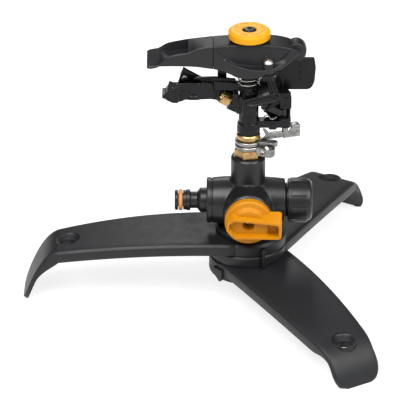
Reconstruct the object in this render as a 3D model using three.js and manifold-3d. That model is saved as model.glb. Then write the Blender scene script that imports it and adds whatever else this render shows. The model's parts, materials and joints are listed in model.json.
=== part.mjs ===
// Impact sprinkler on a three-legged folding stand, in millimetres, +Z up.
// Heights below are measured from the ground. The whole group is then lowered so that the
// origin is the middle of the hub's flat underside, on the axis that the head spins about.
// +X points at the capped outlet, -X at the hose inlet, and -Y at the side with the valve handle.
import * as THREE from 'three';
import { mergeVertices } from 'three/addons/utils/BufferGeometryUtils.js';
import Module from 'manifold-3d';

const wasm = await Module();
wasm.setup();

// ---------------------------------------------------------------- driving dimensions
const GAP = 0.3;               // clearance between neighbouring pieces
const ROUND = 28;              // sides of a large round
const SMALL = 14;              // sides of a small round

const HUB_UNDERSIDE = 21.5;
const HUB_RADIUS = 30.1;
const LEG_TOP = 55.6;          // top face of the highest leg at the hub
const LEG_PITCH = 9.6;         // from one leg level to the next
const LEG_DEPTH = 9.2;
const LEG_WALL = 2.4;
const LEG_TIP = 176.7;         // reach of the highest leg
const TIP_STEP = 6.1;          // each lower leg is this much shorter, so that it nests
const ARCH_RADIUS = 637;
const BEND_LENGTH = 28.7;      // over this length the arch bends down into the foot
const FOOT_SLOPE = 3;          // rise over run at the tip
const FOOT_THICKNESS = 3.4;
const PEG_HOLE = 141;          // peg hole's distance from the hub's axis, the same on each leg
const SPINDLE_RADIUS = 5.5;

const INLET_AXIS = 80.8;       // height of the water pipe's axis
const RISER_TOP = 120;
const NECK_TOP = 139.5;
const NOZZLE_TILT = THREE.MathUtils.degToRad(27);
const NOZZLE_BASE = 159;
const HAMMER_BOTTOM = 171;
const HAMMER_TOP = 182;
const SHELL_BOTTOM = 197;
const SHELL_TOP = 217.5;
const SHELL_SLOPE_FOOT = 202.5;
const SCREW_X = 14;
const SCREW_Y = -15.3;
const SCREW_SEAT = 205.2;
const SEAM_X = -26.6;          // between the shell and the deflector arm
const DIAL_RADIUS = 16;
const DIAL_BOTTOM = 219.5;
const DIAL_TOP = 224.7;
const COLUMN_X = 28;           // axis of the reversing column
const COLUMN_Y = 0.5;

// ---------------------------------------------------------------- materials
const finish = (color, roughness, metalness) =>
  new THREE.MeshStandardMaterial({ color, roughness, metalness });
const mattePlastic = () => finish(0x1c1e20, 0.62, 0);
const satinPlastic = () => finish(0x141517, 0.38, 0);
const orangePlastic = () => finish(0xf29a12, 0.4, 0);
const brass = () => finish(0xb98c4e, 0.35, 1);
const steel = () => finish(0xb9bbbd, 0.3, 1);
const rubber = () => finish(0x151515, 0.8, 0);
const amberRubber = () => finish(0xe0a45c, 0.55, 0);

// ---------------------------------------------------------------- solid helpers
function solid(geometry) {
  geometry.deleteAttribute('normal');
  geometry.deleteAttribute('uv');
  const merged = mergeVertices(geometry, 1e-4);
  return new wasm.Manifold(new wasm.Mesh({
    numProp: 3,
    vertProperties: new Float32Array(merged.attributes.position.array),
    triVerts: new Uint32Array(merged.index.array),
  }));
}

const join = (first, ...others) => others.reduce((sum, other) => sum.add(other), first);
const cut = (first, ...others) => others.reduce((rest, other) => rest.subtract(other), first);

function toGeometry(shape) {
  const mesh = shape.getMesh();
  const geometry = new THREE.BufferGeometry();
  const positions = new Float32Array(mesh.numVert * 3);
  for (let i = 0; i < mesh.numVert; i += 1) {
    for (let axis = 0; axis < 3; axis += 1) {
      positions[3 * i + axis] = mesh.vertProperties[mesh.numProp * i + axis];
    }
  }
  geometry.setAttribute('position', new THREE.BufferAttribute(positions, 3));
  geometry.setIndex(new THREE.BufferAttribute(new Uint32Array(mesh.triVerts), 1));
  return geometry;
}

// A closed profile of [radius, height] pairs, in either order, turned about +Z.
function lathe(profile, segments = ROUND) {
  const points = profile.map(([radius, height]) => new THREE.Vector2(radius, height));
  if (THREE.ShapeUtils.isClockWise(points)) {
    points.reverse();
  }
  const geometry = new THREE.LatheGeometry([...points, points[0]], segments);
  geometry.rotateX(Math.PI / 2);
  return geometry;
}

// Cylinder or tube about Z.
function round(outer, low, high, inner = 0, segments = ROUND) {
  return solid(lathe([[inner, low], [outer, low], [outer, high], [inner, high]], segments));
}

function turned(profile, segments = ROUND) {
  return solid(lathe(profile, segments));
}

// A profile of [radius, x] pairs turned about the pipe's axis, which runs along +X.
function turnedAlongX(profile, segments = ROUND) {
  const geometry = lathe(profile, segments);
  geometry.rotateY(Math.PI / 2);
  geometry.translate(0, 0, INLET_AXIS);
  return solid(geometry);
}

// A profile of [radius, depth] pairs turned about the valve's axis; depth runs toward -Y.
function turnedTowardFront(profile, segments = ROUND) {
  const geometry = lathe(profile, segments);
  geometry.rotateX(Math.PI / 2);
  geometry.translate(0, 0, INLET_AXIS);
  return solid(geometry);
}

function box(x0, x1, y0, y1, z0, z1) {
  const geometry = new THREE.BoxGeometry(x1 - x0, y1 - y0, z1 - z0);
  geometry.translate((x0 + x1) / 2, (y0 + y1) / 2, (z0 + z1) / 2);
  return solid(geometry);
}

// A flat outline in X and Y, raised from low to high.
function plate(shape, low, high, curveSegments = 8) {
  const geometry = new THREE.ExtrudeGeometry(shape, {
    depth: high - low, bevelEnabled: false, curveSegments,
  });
  geometry.translate(0, 0, low);
  return solid(geometry);
}

// A flat outline in X and Z, standing between the depths front and back along Y.
function wall(shape, front, back, curveSegments = 8) {
  const geometry = new THREE.ExtrudeGeometry(shape, {
    depth: back - front, bevelEnabled: false, curveSegments,
  });
  geometry.rotateX(Math.PI / 2);
  geometry.translate(0, back, 0);
  return solid(geometry);
}

function outline(points) {
  return new THREE.Shape(points.map(([a, b]) => new THREE.Vector2(a, b)));
}

function roundedBar(x0, x1, y0, y1, radius) {
  const shape = new THREE.Shape();
  shape.moveTo(x0 + radius, y0);
  shape.lineTo(x1 - radius, y0);
  shape.absarc(x1 - radius, y0 + radius, radius, -Math.PI / 2, 0);
  shape.lineTo(x1, y1 - radius);
  shape.absarc(x1 - radius, y1 - radius, radius, 0, Math.PI / 2);
  shape.lineTo(x0 + radius, y1);
  shape.absarc(x0 + radius, y1 - radius, radius, Math.PI / 2, Math.PI);
  shape.lineTo(x0, y0 + radius);
  shape.absarc(x0 + radius, y0 + radius, radius, Math.PI, 1.5 * Math.PI);
  return shape;
}

// A straight rod or tube between two points.
function rod(from, to, outer, inner = 0, segments = SMALL) {
  const start = new THREE.Vector3(...from);
  const end = new THREE.Vector3(...to);
  const length = start.distanceTo(end);
  const geometry = lathe([[inner, 0], [outer, 0], [outer, length], [inner, length]], segments);
  const turn = new THREE.Quaternion().setFromUnitVectors(
    new THREE.Vector3(0, 0, 1), end.clone().sub(start).normalize(),
  );
  geometry.applyQuaternion(turn);
  geometry.translate(start.x, start.y, start.z);
  return solid(geometry);
}

// A round wire or tube swept along a curve.
function sweep(curve, radius, steps, sides = 8) {
  const section = new THREE.Shape();
  section.absarc(0, 0, radius, 0, 2 * Math.PI);
  const geometry = new THREE.ExtrudeGeometry(section, {
    steps, extrudePath: curve, bevelEnabled: false, curveSegments: sides,
  });
  return solid(geometry);
}

function wire(points, radius, steps, sides = 8) {
  const curve = new THREE.CatmullRomCurve3(
    points.map(([x, y, z]) => new THREE.Vector3(x, y, z)), false, 'centripetal',
  );
  return sweep(curve, radius, steps, sides);
}

const sprinkler = new THREE.Group();
sprinkler.position.z = -HUB_UNDERSIDE;

function add(name, shape, material, group = sprinkler) {
  const mesh = new THREE.Mesh(toGeometry(shape), material);
  mesh.name = name;
  group.add(mesh);
}

// ---------------------------------------------------------------- folding legs
const archHeight = (radius, top) => top - Math.max(radius - HUB_RADIUS, 0) ** 2 / (2 * ARCH_RADIUS);

function curvePoints(start, control, end, count) {
  const curve = new THREE.QuadraticBezierCurve(
    new THREE.Vector2(...start), new THREE.Vector2(...control), new THREE.Vector2(...end),
  );
  return curve.getPoints(count).map((point) => [point.x, point.y]);
}

// The leg's profile from the hub to the foot. It lies a depth below the arch, and ends an inset
// short of the tip, where it has bent down to the slope of the foot.
function legLine(tip, top, depth, inset) {
  const foot = tip - inset;
  const bendStart = foot - BEND_LENGTH;
  const bendTop = archHeight(bendStart, top - depth);
  const points = [];
  const steps = 6;
  for (let i = 0; i < steps; i += 1) {
    const radius = HUB_RADIUS + ((bendStart - HUB_RADIUS) * i) / steps;
    points.push([radius, archHeight(radius, top - depth)]);
  }
  const tangent = (bendStart - HUB_RADIUS) / ARCH_RADIUS;
  const corner = (FOOT_SLOPE * foot - bendTop - tangent * bendStart) / (FOOT_SLOPE - tangent);
  const control = [corner, FOOT_SLOPE * (foot - corner)];
  points.push(...curvePoints([bendStart, bendTop], control, [foot, 0], 8));
  return points;
}

function legOutline(tip, inset) {
  const cornerLength = 7.7;
  const cornerWidth = 9.5;
  const endWidth = 20 - inset;
  const end = tip - inset;
  const width = (radius) => Math.max(28.7 - (radius - 20) ** 2 / 2000, 20) - inset;
  const side = [];
  for (let radius = 10; radius < tip - 14; radius += 14) {
    side.push([radius, width(radius)]);
  }
  const shape = new THREE.Shape(side.map(([x, y]) => new THREE.Vector2(x, -y)));
  const middle = endWidth - cornerWidth;
  shape.lineTo(end - cornerLength, -endWidth);
  shape.absellipse(end - cornerLength, -middle, cornerLength, cornerWidth, -Math.PI / 2, 0, false, 0);
  shape.absellipse(end - cornerLength, middle, cornerLength, cornerWidth, 0, Math.PI / 2, false, 0);
  side.reverse().forEach(([x, y]) => shape.lineTo(x, y));
  return shape;
}

function leg(level, azimuth) {
  const tip = LEG_TIP - TIP_STEP * level;
  const top = LEG_TOP - LEG_PITCH * level;
  const bore = SPINDLE_RADIUS + GAP;
  const upper = legLine(tip, top, 0, 0);
  const lower = legLine(tip, top, LEG_DEPTH, FOOT_THICKNESS);
  const profile = [[bore, top], ...upper, ...lower.reverse(), [bore, top - LEG_DEPTH]];
  const hollowTop = legLine(tip, top, LEG_WALL, 2.6);
  const hollow = [[bore - 1, top - LEG_WALL], ...hollowTop, [tip - 30, 0], [bore - 1, 0]];
  const plan = plate(legOutline(tip, 0), -1, top + 1).add(round(HUB_RADIUS, -1, top + 1));
  const inner = plate(legOutline(tip, LEG_WALL), -2, top + 2)
    .add(round(HUB_RADIUS - LEG_WALL, -2, top + 2));
  const shell = turned(profile).intersect(plan).subtract(turned(hollow).intersect(inner));
  const boss = round(9, top - LEG_DEPTH, top - 1, bore, SMALL);
  const holeTop = archHeight(PEG_HOLE, top);
  const hole = rod([PEG_HOLE, 0, holeTop - 9], [PEG_HOLE, 0, holeTop + 9], 6.6);
  const rim = rod([PEG_HOLE, 0, holeTop - 7], [PEG_HOLE, 0, holeTop - 1.2], 9.3);
  const dish = rod([PEG_HOLE, 0, holeTop - 2], [PEG_HOLE, 0, holeTop + 9], 8.6);
  return cut(join(shell, boss, rim), hole, dish).rotate([0, 0, azimuth]);
}

function buildLegs() {
  add('top_leg', leg(0, 180), mattePlastic());
  add('rear_leg', leg(1, 60), mattePlastic());
  add('front_leg', leg(2, -60), mattePlastic());
}

function buildHub() {
  const socket = round(8.6, HUB_UNDERSIDE + 2.8, 30, 0, SMALL);
  const skirt = LEG_TOP - 3 * LEG_PITCH - GAP;
  const rim = round(HUB_RADIUS - 3, HUB_UNDERSIDE + 2.5, 30, 12);
  add('base_cap', cut(round(HUB_RADIUS, HUB_UNDERSIDE, skirt), socket, rim), mattePlastic());
  const nutLow = HUB_UNDERSIDE + 3.1;
  const nut = round(8, nutLow, nutLow + 2.2, 0, 6).subtract(round(SPINDLE_RADIUS + GAP, 20, 30));
  add('spindle_nut', nut, steel());
  add('leg_spindle', round(SPINDLE_RADIUS, nutLow, LEG_TOP + 2.2, 0, SMALL), steel());
  for (let level = 0; level < 3; level += 1) {
    const top = LEG_TOP - LEG_PITCH * level;
    const ring = round(12, top - LEG_DEPTH - 0.28, top - LEG_DEPTH - 0.08, SPINDLE_RADIUS + 0.2, SMALL);
    add(`friction_washer_${level + 1}`, ring, steel());
  }
}

// ---------------------------------------------------------------- water manifold
function buildPedestal() {
  const profile = [
    [SPINDLE_RADIUS + GAP, LEG_TOP + GAP], [HUB_RADIUS, LEG_TOP + GAP], [HUB_RADIUS, 59.5],
    [HUB_RADIUS - 1.5, 61], [18, 61], [18, 59], [SPINDLE_RADIUS + GAP, 59],
  ];
  add('pedestal', turned(profile), satinPlastic());
}

function buildManifold() {
  const barrel = turnedAlongX([
    [0, -27.6], [17.7, -27.6], [17.9, -20], [19.05, -8], [19.05, 6], [17.6, 20], [16.85, 28.9],
    [12.7, 28.9], [12.7, 44], [0, 44],
  ]);
  const foot = turned([[0, 59.3], [17.6, 59.3], [16.5, 66], [16.5, 80], [0, 80]]);
  const riser = turned([[0, 80], [13.4, 80], [13.4, 118.5], [11.9, RISER_TOP], [0, RISER_TOP]]);
  const boss = turnedTowardFront([[0, 0], [19, 0], [19, 27.5], [17.5, 29], [0, 29]]);
  const mainBore = turnedAlongX([[0, -28], [8, -28], [8, 45], [0, 45]], SMALL);
  const riserBore = round(8.6, 78, RISER_TOP + 1, 0, SMALL);
  const plugBore = turnedTowardFront([[0, -10], [12, -10], [12, 26.2], [15.3, 26.2], [15.3, 30], [0, 30]]);
  const body = cut(join(barrel, foot, riser, boss), mainBore, riserBore, plugBore);
  add('manifold_body', body, satinPlastic());
}

function buildInlet() {
  add('inlet_collar', turnedAlongX([
    [9.9, -32.1], [16.9, -32.1], [17.7, -31.3], [17.7, -27.9], [13.2, -27.9], [13.2, -30.6], [9.9, -30.6],
  ]), satinPlastic());
  add('inlet_nipple', turnedAlongX([
    [4.2, -56.9], [7.2, -56.9], [7.9, -56.2], [7.9, -54.2], [5.4, -54.2], [5.4, -50.7], [7.7, -50.7],
    [7.7, -47.9], [8.25, -47.7], [8.25, -45], [6.5, -45], [6.5, -39.5], [9.4, -37.2], [9.6, -37],
    [9.6, -30.3], [12.9, -30.3], [12.9, -29.2], [4.2, -29.2],
  ]), satinPlastic());
  const ring = new THREE.TorusGeometry(6.85, 1.15, 8, 24);
  ring.rotateY(Math.PI / 2);
  ring.translate(-52.45, 0, INLET_AXIS);
  add('inlet_o_ring', solid(ring), amberRubber());
  add('inlet_gasket', turnedAlongX([[6, -28.9], [12.5, -28.9], [12.5, -27.9], [6, -27.9]]), rubber());
  const screenHoles = [];
  for (let ringIndex = 0; ringIndex < 2; ringIndex += 1) {
    const spacing = 1.35 + ringIndex * 1.3;
    const count = 4 + 4 * ringIndex;
    for (let i = 0; i < count; i += 1) {
      const angle = (2 * Math.PI * i) / count;
      const y = spacing * Math.cos(angle);
      const z = INLET_AXIS + spacing * Math.sin(angle);
      screenHoles.push(rod([-40, y, z], [-30, y, z], 0.42, 0, 6));
    }
  }
  const screen = turnedAlongX([[0, -36.2], [3.9, -36.2], [3.9, -35], [0, -35]], SMALL);
  add('inlet_screen', cut(screen, ...screenHoles), steel());
}

function gripPad(angle, x0, x1, halfWidth, radius) {
  const pad = new THREE.BoxGeometry(x1 - x0, 2 * halfWidth, 2.2);
  pad.translate((x0 + x1) / 2, 0, radius - 0.2);
  pad.rotateX(angle);
  pad.translate(0, 0, INLET_AXIS);
  return solid(pad);
}

function buildOutletCap() {
  const shell = turnedAlongX([
    [0, 49.6], [14.2, 49.6], [15.2, 48.6], [16.1, 46], [16.3, 42], [16.3, 31], [13.1, 31], [13.1, 46], [0, 46],
  ]);
  const pads = [];
  for (let i = 0; i < 8; i += 1) {
    pads.push(gripPad((i * Math.PI) / 4, 33.2, 45.7, 2.25, 16.3));
  }
  add('outlet_cap', join(shell, ...pads), satinPlastic());
  add('outlet_gasket', turnedAlongX([[8.2, 44.4], [12.6, 44.4], [12.6, 45.7], [8.2, 45.7]]), rubber());
}

function buildValve() {
  const plug = turnedTowardFront([[0, -9.5], [11.6, -9.5], [11.6, 25.4], [4.2, 25.4], [4.2, 34.5], [0, 34.5]]);
  const across = turnedAlongX([[0, -13], [6.5, -13], [6.5, 13], [0, 13]], SMALL);
  const upward = round(6.5, INLET_AXIS, INLET_AXIS + 13, 0, SMALL);
  const screwHole = turnedTowardFront([[0, 26], [1.9, 26], [1.9, 35], [0, 35]], SMALL);
  add('valve_plug', cut(plug, across, upward, screwHole), satinPlastic());
  const bonnet = [[4.6, 26.6], [15, 26.6], [15, 29], [7.2, 29], [7.2, 28], [4.6, 28]];
  add('valve_bonnet', turnedTowardFront(bonnet), satinPlastic());
  add('valve_stem_ring', turnedTowardFront([[4.5, 28.2], [6.9, 28.2], [6.9, 29.3], [4.5, 29.3]], SMALL), rubber());
  const disc = turnedTowardFront([
    [0, 29.8], [17.6, 29.8], [18.3, 30.5], [18.3, 35.3], [17.6, 36], [0, 36],
  ]);
  const bar = wall(roundedBar(-12, 25.5, INLET_AXIS - 8, INLET_AXIS + 8, 3.2), -44, -35);
  const floor = wall(roundedBar(-10.2, 11.7, INLET_AXIS - 6.2, INLET_AXIS + 6.2, 2), -45, -40);
  const slot = wall(roundedBar(13.5, 22, INLET_AXIS - 6.2, INLET_AXIS + 6.2, 2), -45, -38);
  const socket = turnedTowardFront([[0, 29], [4.5, 29], [4.5, 34.8], [2.2, 34.8], [2.2, 41], [0, 41]], SMALL);
  const counterbore = turnedTowardFront([[0, 37], [4.3, 37], [4.3, 45], [0, 45]], SMALL);
  add('valve_handle', cut(join(disc, bar), floor, slot, socket, counterbore), orangePlastic());
  const screw = turnedTowardFront([[0, 27], [1.6, 27], [1.6, 37.2], [3.9, 37.2], [3.4, 39.3], [0, 39.7]], SMALL);
  const cross = box(-3, 3, -41, -38.6, INLET_AXIS - 0.5, INLET_AXIS + 0.5);
  const crossUp = box(-0.5, 0.5, -41, -38.6, INLET_AXIS - 3, INLET_AXIS + 3);
  add('handle_screw', cut(screw, cross, crossUp), steel());
}

// ---------------------------------------------------------------- head bearing and stop collars
function buildBearing() {
  const hex = round(11, RISER_TOP + GAP, 126.5, 0, 6).rotate([0, 0, 10]);
  const thread = round(8.3, 107.5, RISER_TOP + 1, 0, SMALL);
  const neck = round(8.25, 126, NECK_TOP, 0, ROUND);
  const bore = round(5.2, 107, 140, 0, SMALL);
  add('bearing_nipple', cut(join(hex, thread, neck), bore), brass());
  add('bearing_sleeve', turned([
    [3.6, 101.5], [7.2, 101.5], [7.2, 103], [4.9, 103], [4.9, 146], [3.6, 146],
  ], SMALL), brass());
  add('lower_washer', round(7, 103.3, 105, 5.1, SMALL), rubber());
  add('upper_washer', round(7, 105.3, 107.2, 5.1, SMALL), steel());
  add('dust_seal', round(8, NECK_TOP + 0.2, NECK_TOP + 1, 5.2, SMALL), rubber());
}

function collarBand(low, high) {
  return round(10.3, low, high, 8.55, ROUND);
}

function buildStopCollars() {
  const upperBand = collarBand(131, 134.2);
  const upperEar = box(9.5, 41, -3.2, 3.2, 131.2, 132.4);
  const innerTab = box(34.4, 35.6, -3.2, 3.2, 132, 141.5);
  const outerTab = box(39.8, 41, -3.2, 3.2, 132, 141.5);
  const upper = join(upperBand, upperEar, innerTab, outerTab);
  add('upper_stop_collar', upper.rotate([0, 0, 18]), steel());
  const lowerBand = collarBand(127.2, 130.3);
  const lowerEar = box(9.5, 22, -3.2, 3.2, 128.2, 129.4);
  const lowerTab = box(20.8, 22, -3.2, 3.2, 124, 129.4);
  add('lower_stop_collar', join(lowerBand, lowerEar, lowerTab).rotate([0, 0, -28]), steel());
}

// ---------------------------------------------------------------- turning head
const nozzlePoint = (distance) => [
  -distance * Math.cos(NOZZLE_TILT), 0, NOZZLE_BASE + distance * Math.sin(NOZZLE_TILT),
];

function buildHeadBody() {
  const collar = turned([[0, 140.8], [9, 140.8], [9, 148], [8, 149.5], [7.6, 149.5], [7.6, 168], [6, 169.6], [0, 169.6]]);
  const spout = rod(nozzlePoint(0), nozzlePoint(16.2), 6.5);
  const lowerRib = wall(outline([[-1, 160], [22, 167], [25.5, 169], [25.5, 172], [-1, 166]]), -12, -4);
  const post = wall(outline([[19, 168], [25.5, 169], [22.2, 196.6], [15, 196.6]]), -12, -4);
  const topRail = wall(outline([[-8, 191.5], [22, 193], [22, 196.6], [-8, 196.6]]), -12, -4);
  const web = box(-6, 6, -12, -4, 158, 166);
  const screwEar = box(9.5, 18.5, -19.2, -11, 191.5, 196.6);
  const screwHole = round(1.6, 190, 198, 0, 12).translate([SCREW_X, SCREW_Y, 0]);
  const bracket = box(5, 30, -4, 5, 145, 150.5);
  const column = box(24.4, 32, -4, 5, 145, 173);
  const crown = rod([0, 0, 192], [0, 0, 196.6], 9);
  const springRoom = rod([0, 0, 169.7], [0, 0, 192], 9.6);
  const rise = round(3.8, 140, NOZZLE_BASE, 0, SMALL);
  const sleeveSeat = round(5.1, 140, 146.3, 0, SMALL);
  const jet = rod([0, 0, NOZZLE_BASE], nozzlePoint(17), 3.8);
  const nozzleSeat = rod(nozzlePoint(9), nozzlePoint(17), 4.3);
  const pinHole = round(1.9, 165.8, 198, 0, SMALL);
  const tripBore = round(1.4, 140, 162, 0, 12).translate([COLUMN_X, COLUMN_Y, 0]);
  const armSlot = box(20, COLUMN_X + 2.6, -5, 3.6, 153, 161);
  const frame = join(lowerRib, post, topRail, crown, screwEar).subtract(springRoom);
  const body = join(collar, spout, web, bracket, column, frame);
  add('head_body', cut(body, rise, sleeveSeat, jet, nozzleSeat, pinHole, tripBore, armSlot, screwHole), satinPlastic());
}

function buildNozzle() {
  const hex = rod(nozzlePoint(16.6), nozzlePoint(23.3), 5.4, 0, 6);
  const shank = rod(nozzlePoint(9.5), nozzlePoint(17), 4);
  const bore = rod(nozzlePoint(9), nozzlePoint(24), 1.9, 0, 16);
  add('jet_nozzle', cut(join(hex, shank), bore), brass());
}

function buildHammer() {
  add('pivot_pin', round(1.6, 166, 196.5, 0, 16), steel());
  const hub = round(7, HAMMER_BOTTOM, HAMMER_TOP, 2.6, SMALL);
  const bushing = round(2.4, HAMMER_BOTTOM, HAMMER_TOP, 1.9, SMALL);
  add('hammer_bush', bushing, brass());
  const arm = wall(outline([[-26, 176.6], [-5, 175.6], [-5, 182], [-26, 184]]), -2.5, 2.5);
  const cage = wall(outline([[-40, 169.8], [-27, 170.6], [-25.5, 184], [-33, 184]]), -5, 5);
  const jetPath = rod(nozzlePoint(23.6), nozzlePoint(60), 4.6);
  const spoonShape = new THREE.Shape();
  spoonShape.moveTo(-60, 183.5);
  spoonShape.bezierCurveTo(-61.5, 180, -63.5, 176, -64.5, 172.5);
  spoonShape.quadraticCurveTo(-62, 168.4, -54, 168);
  spoonShape.lineTo(-38, 169.8);
  spoonShape.lineTo(-38, 172.8);
  spoonShape.quadraticCurveTo(-52, 171, -55, 175);
  spoonShape.quadraticCurveTo(-56, 180, -56, 184.5);
  const spoon = wall(spoonShape, -6, 6);
  const cheek = wall(outline([[-60, 169], [-38, 170.2], [-38, 181.4], [-58, 179.6]]), -6, -4.8);
  const tail = wall(roundedBar(21.4, 49.4, 171.6, 198, 5), 8.4, 12.2);
  const tailArm = box(4, 26, 4, 12.2, 173, 180);
  const clearPin = round(2.6, 160, 200, 0, SMALL);
  const clearColumn = box(20, 33.5, -8, 8.2, 160, 200);
  const hammer = cut(join(hub, arm, cage, spoon, cheek, tail, cut(tailArm, clearColumn)), jetPath, clearPin);
  add('hammer_arm', hammer, satinPlastic());
  const turns = 6;
  const springPoints = [];
  for (let i = 0; i <= turns * 12; i += 1) {
    const angle = (2 * Math.PI * i) / 12;
    const height = 183.2 + (7.6 * i) / (turns * 12);
    springPoints.push([7.6 * Math.cos(angle), 7.6 * Math.sin(angle), height]);
  }
  add('hammer_spring', wire(springPoints, 0.55, turns * 11, 3), steel());
}

function almond(inset) {
  const shape = new THREE.Shape();
  shape.moveTo(SEAM_X + inset, -9 + inset);
  shape.bezierCurveTo(-15, -18 + inset, 5, -22 + inset, 16, -18.5 + inset);
  shape.bezierCurveTo(26, -15.5 + inset, 32, -10 + inset, 38 - inset, -6 + inset);
  shape.lineTo(38 - inset, 7 - inset);
  shape.bezierCurveTo(32, 12 - inset, 26, 17 - inset, 16, 19 - inset);
  shape.bezierCurveTo(5, 21 - inset, -15, 17 - inset, SEAM_X + inset, 9 - inset);
  shape.closePath();
  return shape;
}

function endOn(points) {
  return wall(outline(points), -60, 60).rotate([0, 0, 90]);
}

function slopedSides(inset) {
  const ridge = 10 - inset;
  const foot = 20.5 - inset;
  const front = [[-ridge, SHELL_TOP], [-foot, SHELL_SLOPE_FOOT], [-40, SHELL_SLOPE_FOOT], [-40, 240], [-ridge, 240]];
  const rear = front.map(([y, z]) => [-y, z]).reverse();
  return [endOn(front), endOn(rear)];
}

function buildShell() {
  const cover = cut(plate(almond(0), SHELL_BOTTOM, SHELL_TOP, 10), ...slopedSides(0));
  const room = cut(plate(almond(2.2), SHELL_BOTTOM - 1, SHELL_TOP - 2.2, 10), ...slopedSides(2.7));
  const knuckle = rod([35, -4.5, 207.5], [35, 7.5, 207.5], 7.5);
  const dialSeat = round(8, SHELL_TOP - 1, SHELL_TOP + 1.5, 0, SMALL);
  const dialBore = round(2.4, SHELL_BOTTOM, SHELL_TOP + 2, 0, SMALL);
  const boss = round(5, SHELL_BOTTOM, SHELL_TOP - 1, 0, SMALL);
  const atScrew = (shape) => shape.translate([SCREW_X, SCREW_Y, 0]);
  const sleeve = cut(atScrew(round(5.6, SCREW_SEAT - 2, SHELL_TOP, 0, SMALL)), ...slopedSides(0));
  const ear = atScrew(round(4.2, SHELL_BOTTOM, SCREW_SEAT, 0, SMALL));
  const earHole = atScrew(round(1.6, SHELL_BOTTOM - 1, SCREW_SEAT + 1, 0, 12));
  const headRoom = atScrew(round(4.3, SCREW_SEAT, SHELL_TOP + 1, 0, SMALL));
  const raisedRear = box(-30, 45, 6, 30, SHELL_BOTTOM - 2, 200);
  const slantedEnd = wall(outline([[23, 190], [23, 199.5], [37, 211], [60, 211], [60, 190]]), -30, 40);
  const hollowCover = cut(cover, room);
  const filled = join(hollowCover, dialSeat, boss, ear, sleeve);
  const body = cut(filled, dialBore, earHole, headRoom, raisedRear, slantedEnd);
  add('top_shell', join(body, knuckle), satinPlastic());
  const head = atScrew(turned([
    [0, SCREW_SEAT + GAP], [3.9, SCREW_SEAT + GAP], [3.7, SCREW_SEAT + 1.8], [2.4, SCREW_SEAT + 3], [0, SCREW_SEAT + 3.4],
  ], SMALL));
  add('shell_screw', join(head, atScrew(round(1.3, 192.5, SCREW_SEAT + 1, 0, 12))), steel());
}

function buildDeflector() {
  const side = outline([
    [-77.4, 203.8], [-68, 205], [-61.5, 209.6], [-46, 213.8], [-27.1, 216.6], [-27.1, 197.5], [-40, 199.3],
    [-66, 200], [-76.6, 199],
  ]);
  const body = wall(side, -10, 10);
  const hollow = outline([
    [-62, 196], [-62, 204.5], [-46, 210.5], [-30, 213.5], [-30, 190],
  ]);
  add('deflector_arm', cut(body, wall(hollow, -7.8, 7.8)), satinPlastic());
}

function buildDial() {
  const rim = turned([
    [2.4, DIAL_BOTTOM], [DIAL_RADIUS - 0.8, DIAL_BOTTOM], [DIAL_RADIUS, DIAL_BOTTOM + 0.8],
    [DIAL_RADIUS, DIAL_TOP - 1], [DIAL_RADIUS - 1, DIAL_TOP], [5.2, DIAL_TOP], [5.2, DIAL_TOP - 2], [2.4, DIAL_TOP - 2],
  ]);
  add('range_dial', rim, orangePlastic());
  const button = turned([[0, DIAL_TOP - 1.7], [4.8, DIAL_TOP - 1.7], [4.8, DIAL_TOP + 0.2], [4, DIAL_TOP + 0.8], [0, DIAL_TOP + 1]], SMALL);
  const stem = round(2, 200, DIAL_TOP - 1, 0, SMALL);
  add('dial_spindle', join(button, stem), satinPlastic());
}

function buildDiffuser() {
  const front = 3.2;
  const back = 6.2;
  const link = wall(roundedBar(-23, -16.5, 186, 194.5, 1.5), front, back);
  const plateShape = outline([
    [-54, 179], [-44, 181.5], [-36, 184.8], [-23, 186.4], [-23, 189], [-34, 187.2], [-46.3, 191.4], [-50, 192.6],
  ]);
  const hanger = box(-22, -17.5, front, back, 190, SHELL_TOP - 3);
  const screwHole = rod([-49, 0, 184.5], [-49, 9, 184.5], 2.2, 0, 12);
  const bracket = cut(join(link, wall(plateShape, front, back), hanger), screwHole);
  add('diffuser_bracket', bracket, satinPlastic());
  const shank = rod([-49, 2.7, 184.5], [-49, 10.5, 184.5], 1.9, 0, 12);
  const head = rod([-49, 10.2, 184.5], [-49, 12, 184.5], 3.2, 0, 12);
  add('breakup_screw', join(shank, head), steel());
}

function buildTripMechanism() {
  const atColumn = (shape) => shape.translate([COLUMN_X, COLUMN_Y, 0]);
  const bore = atColumn(round(1.4, 130, 165, 0, 12));
  add('trip_pin', atColumn(round(1.1, 135, 161, 0, 12)), steel());
  const lever = box(12, 31, -3.5, 4.5, 138, 139.4);
  const finger = box(11, 12.4, -3.5, 4.5, 135, 139.4);
  const socket = atColumn(round(3, 138, 144.4, 0, SMALL));
  add('trip_lever', cut(join(lever, finger, socket), bore), steel());
  const hub = atColumn(round(2.3, 153.3, 160.7, 0, SMALL));
  const bar = wall(outline([[10, 156], [26, 153.5], [26, 158], [11, 162.5]]), COLUMN_Y - 1.5, COLUMN_Y + 1.5);
  add('reverse_arm', cut(join(hub, bar), bore), satinPlastic());
  const springRoute = [[11, -5, 150], [14, -5.6, 154], [18, -5.4, 151.5], [21, -5.6, 154], [23.5, -5, 151]];
  add('toggle_spring', wire(springRoute, 0.5, 14, 3), steel());
}

buildLegs();
buildHub();
buildPedestal();
buildManifold();
buildInlet();
buildOutletCap();
buildValve();
buildBearing();
buildStopCollars();
buildHeadBody();
buildNozzle();
buildHammer();
buildShell();
buildDeflector();
buildDial();
buildDiffuser();
buildTripMechanism();

export default sprinkler;
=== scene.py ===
"""Looks for the impact sprinkler: every visible piece is remodelled finely around the fixed frame.

Shapes are written in millimetres above the ground, with the head's spin axis at X = Y = 0.
publish() turns them into metres in the frame's own coordinates.
"""
import json
import math

import bmesh
import bpy
from mathutils import Matrix, Vector


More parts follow.
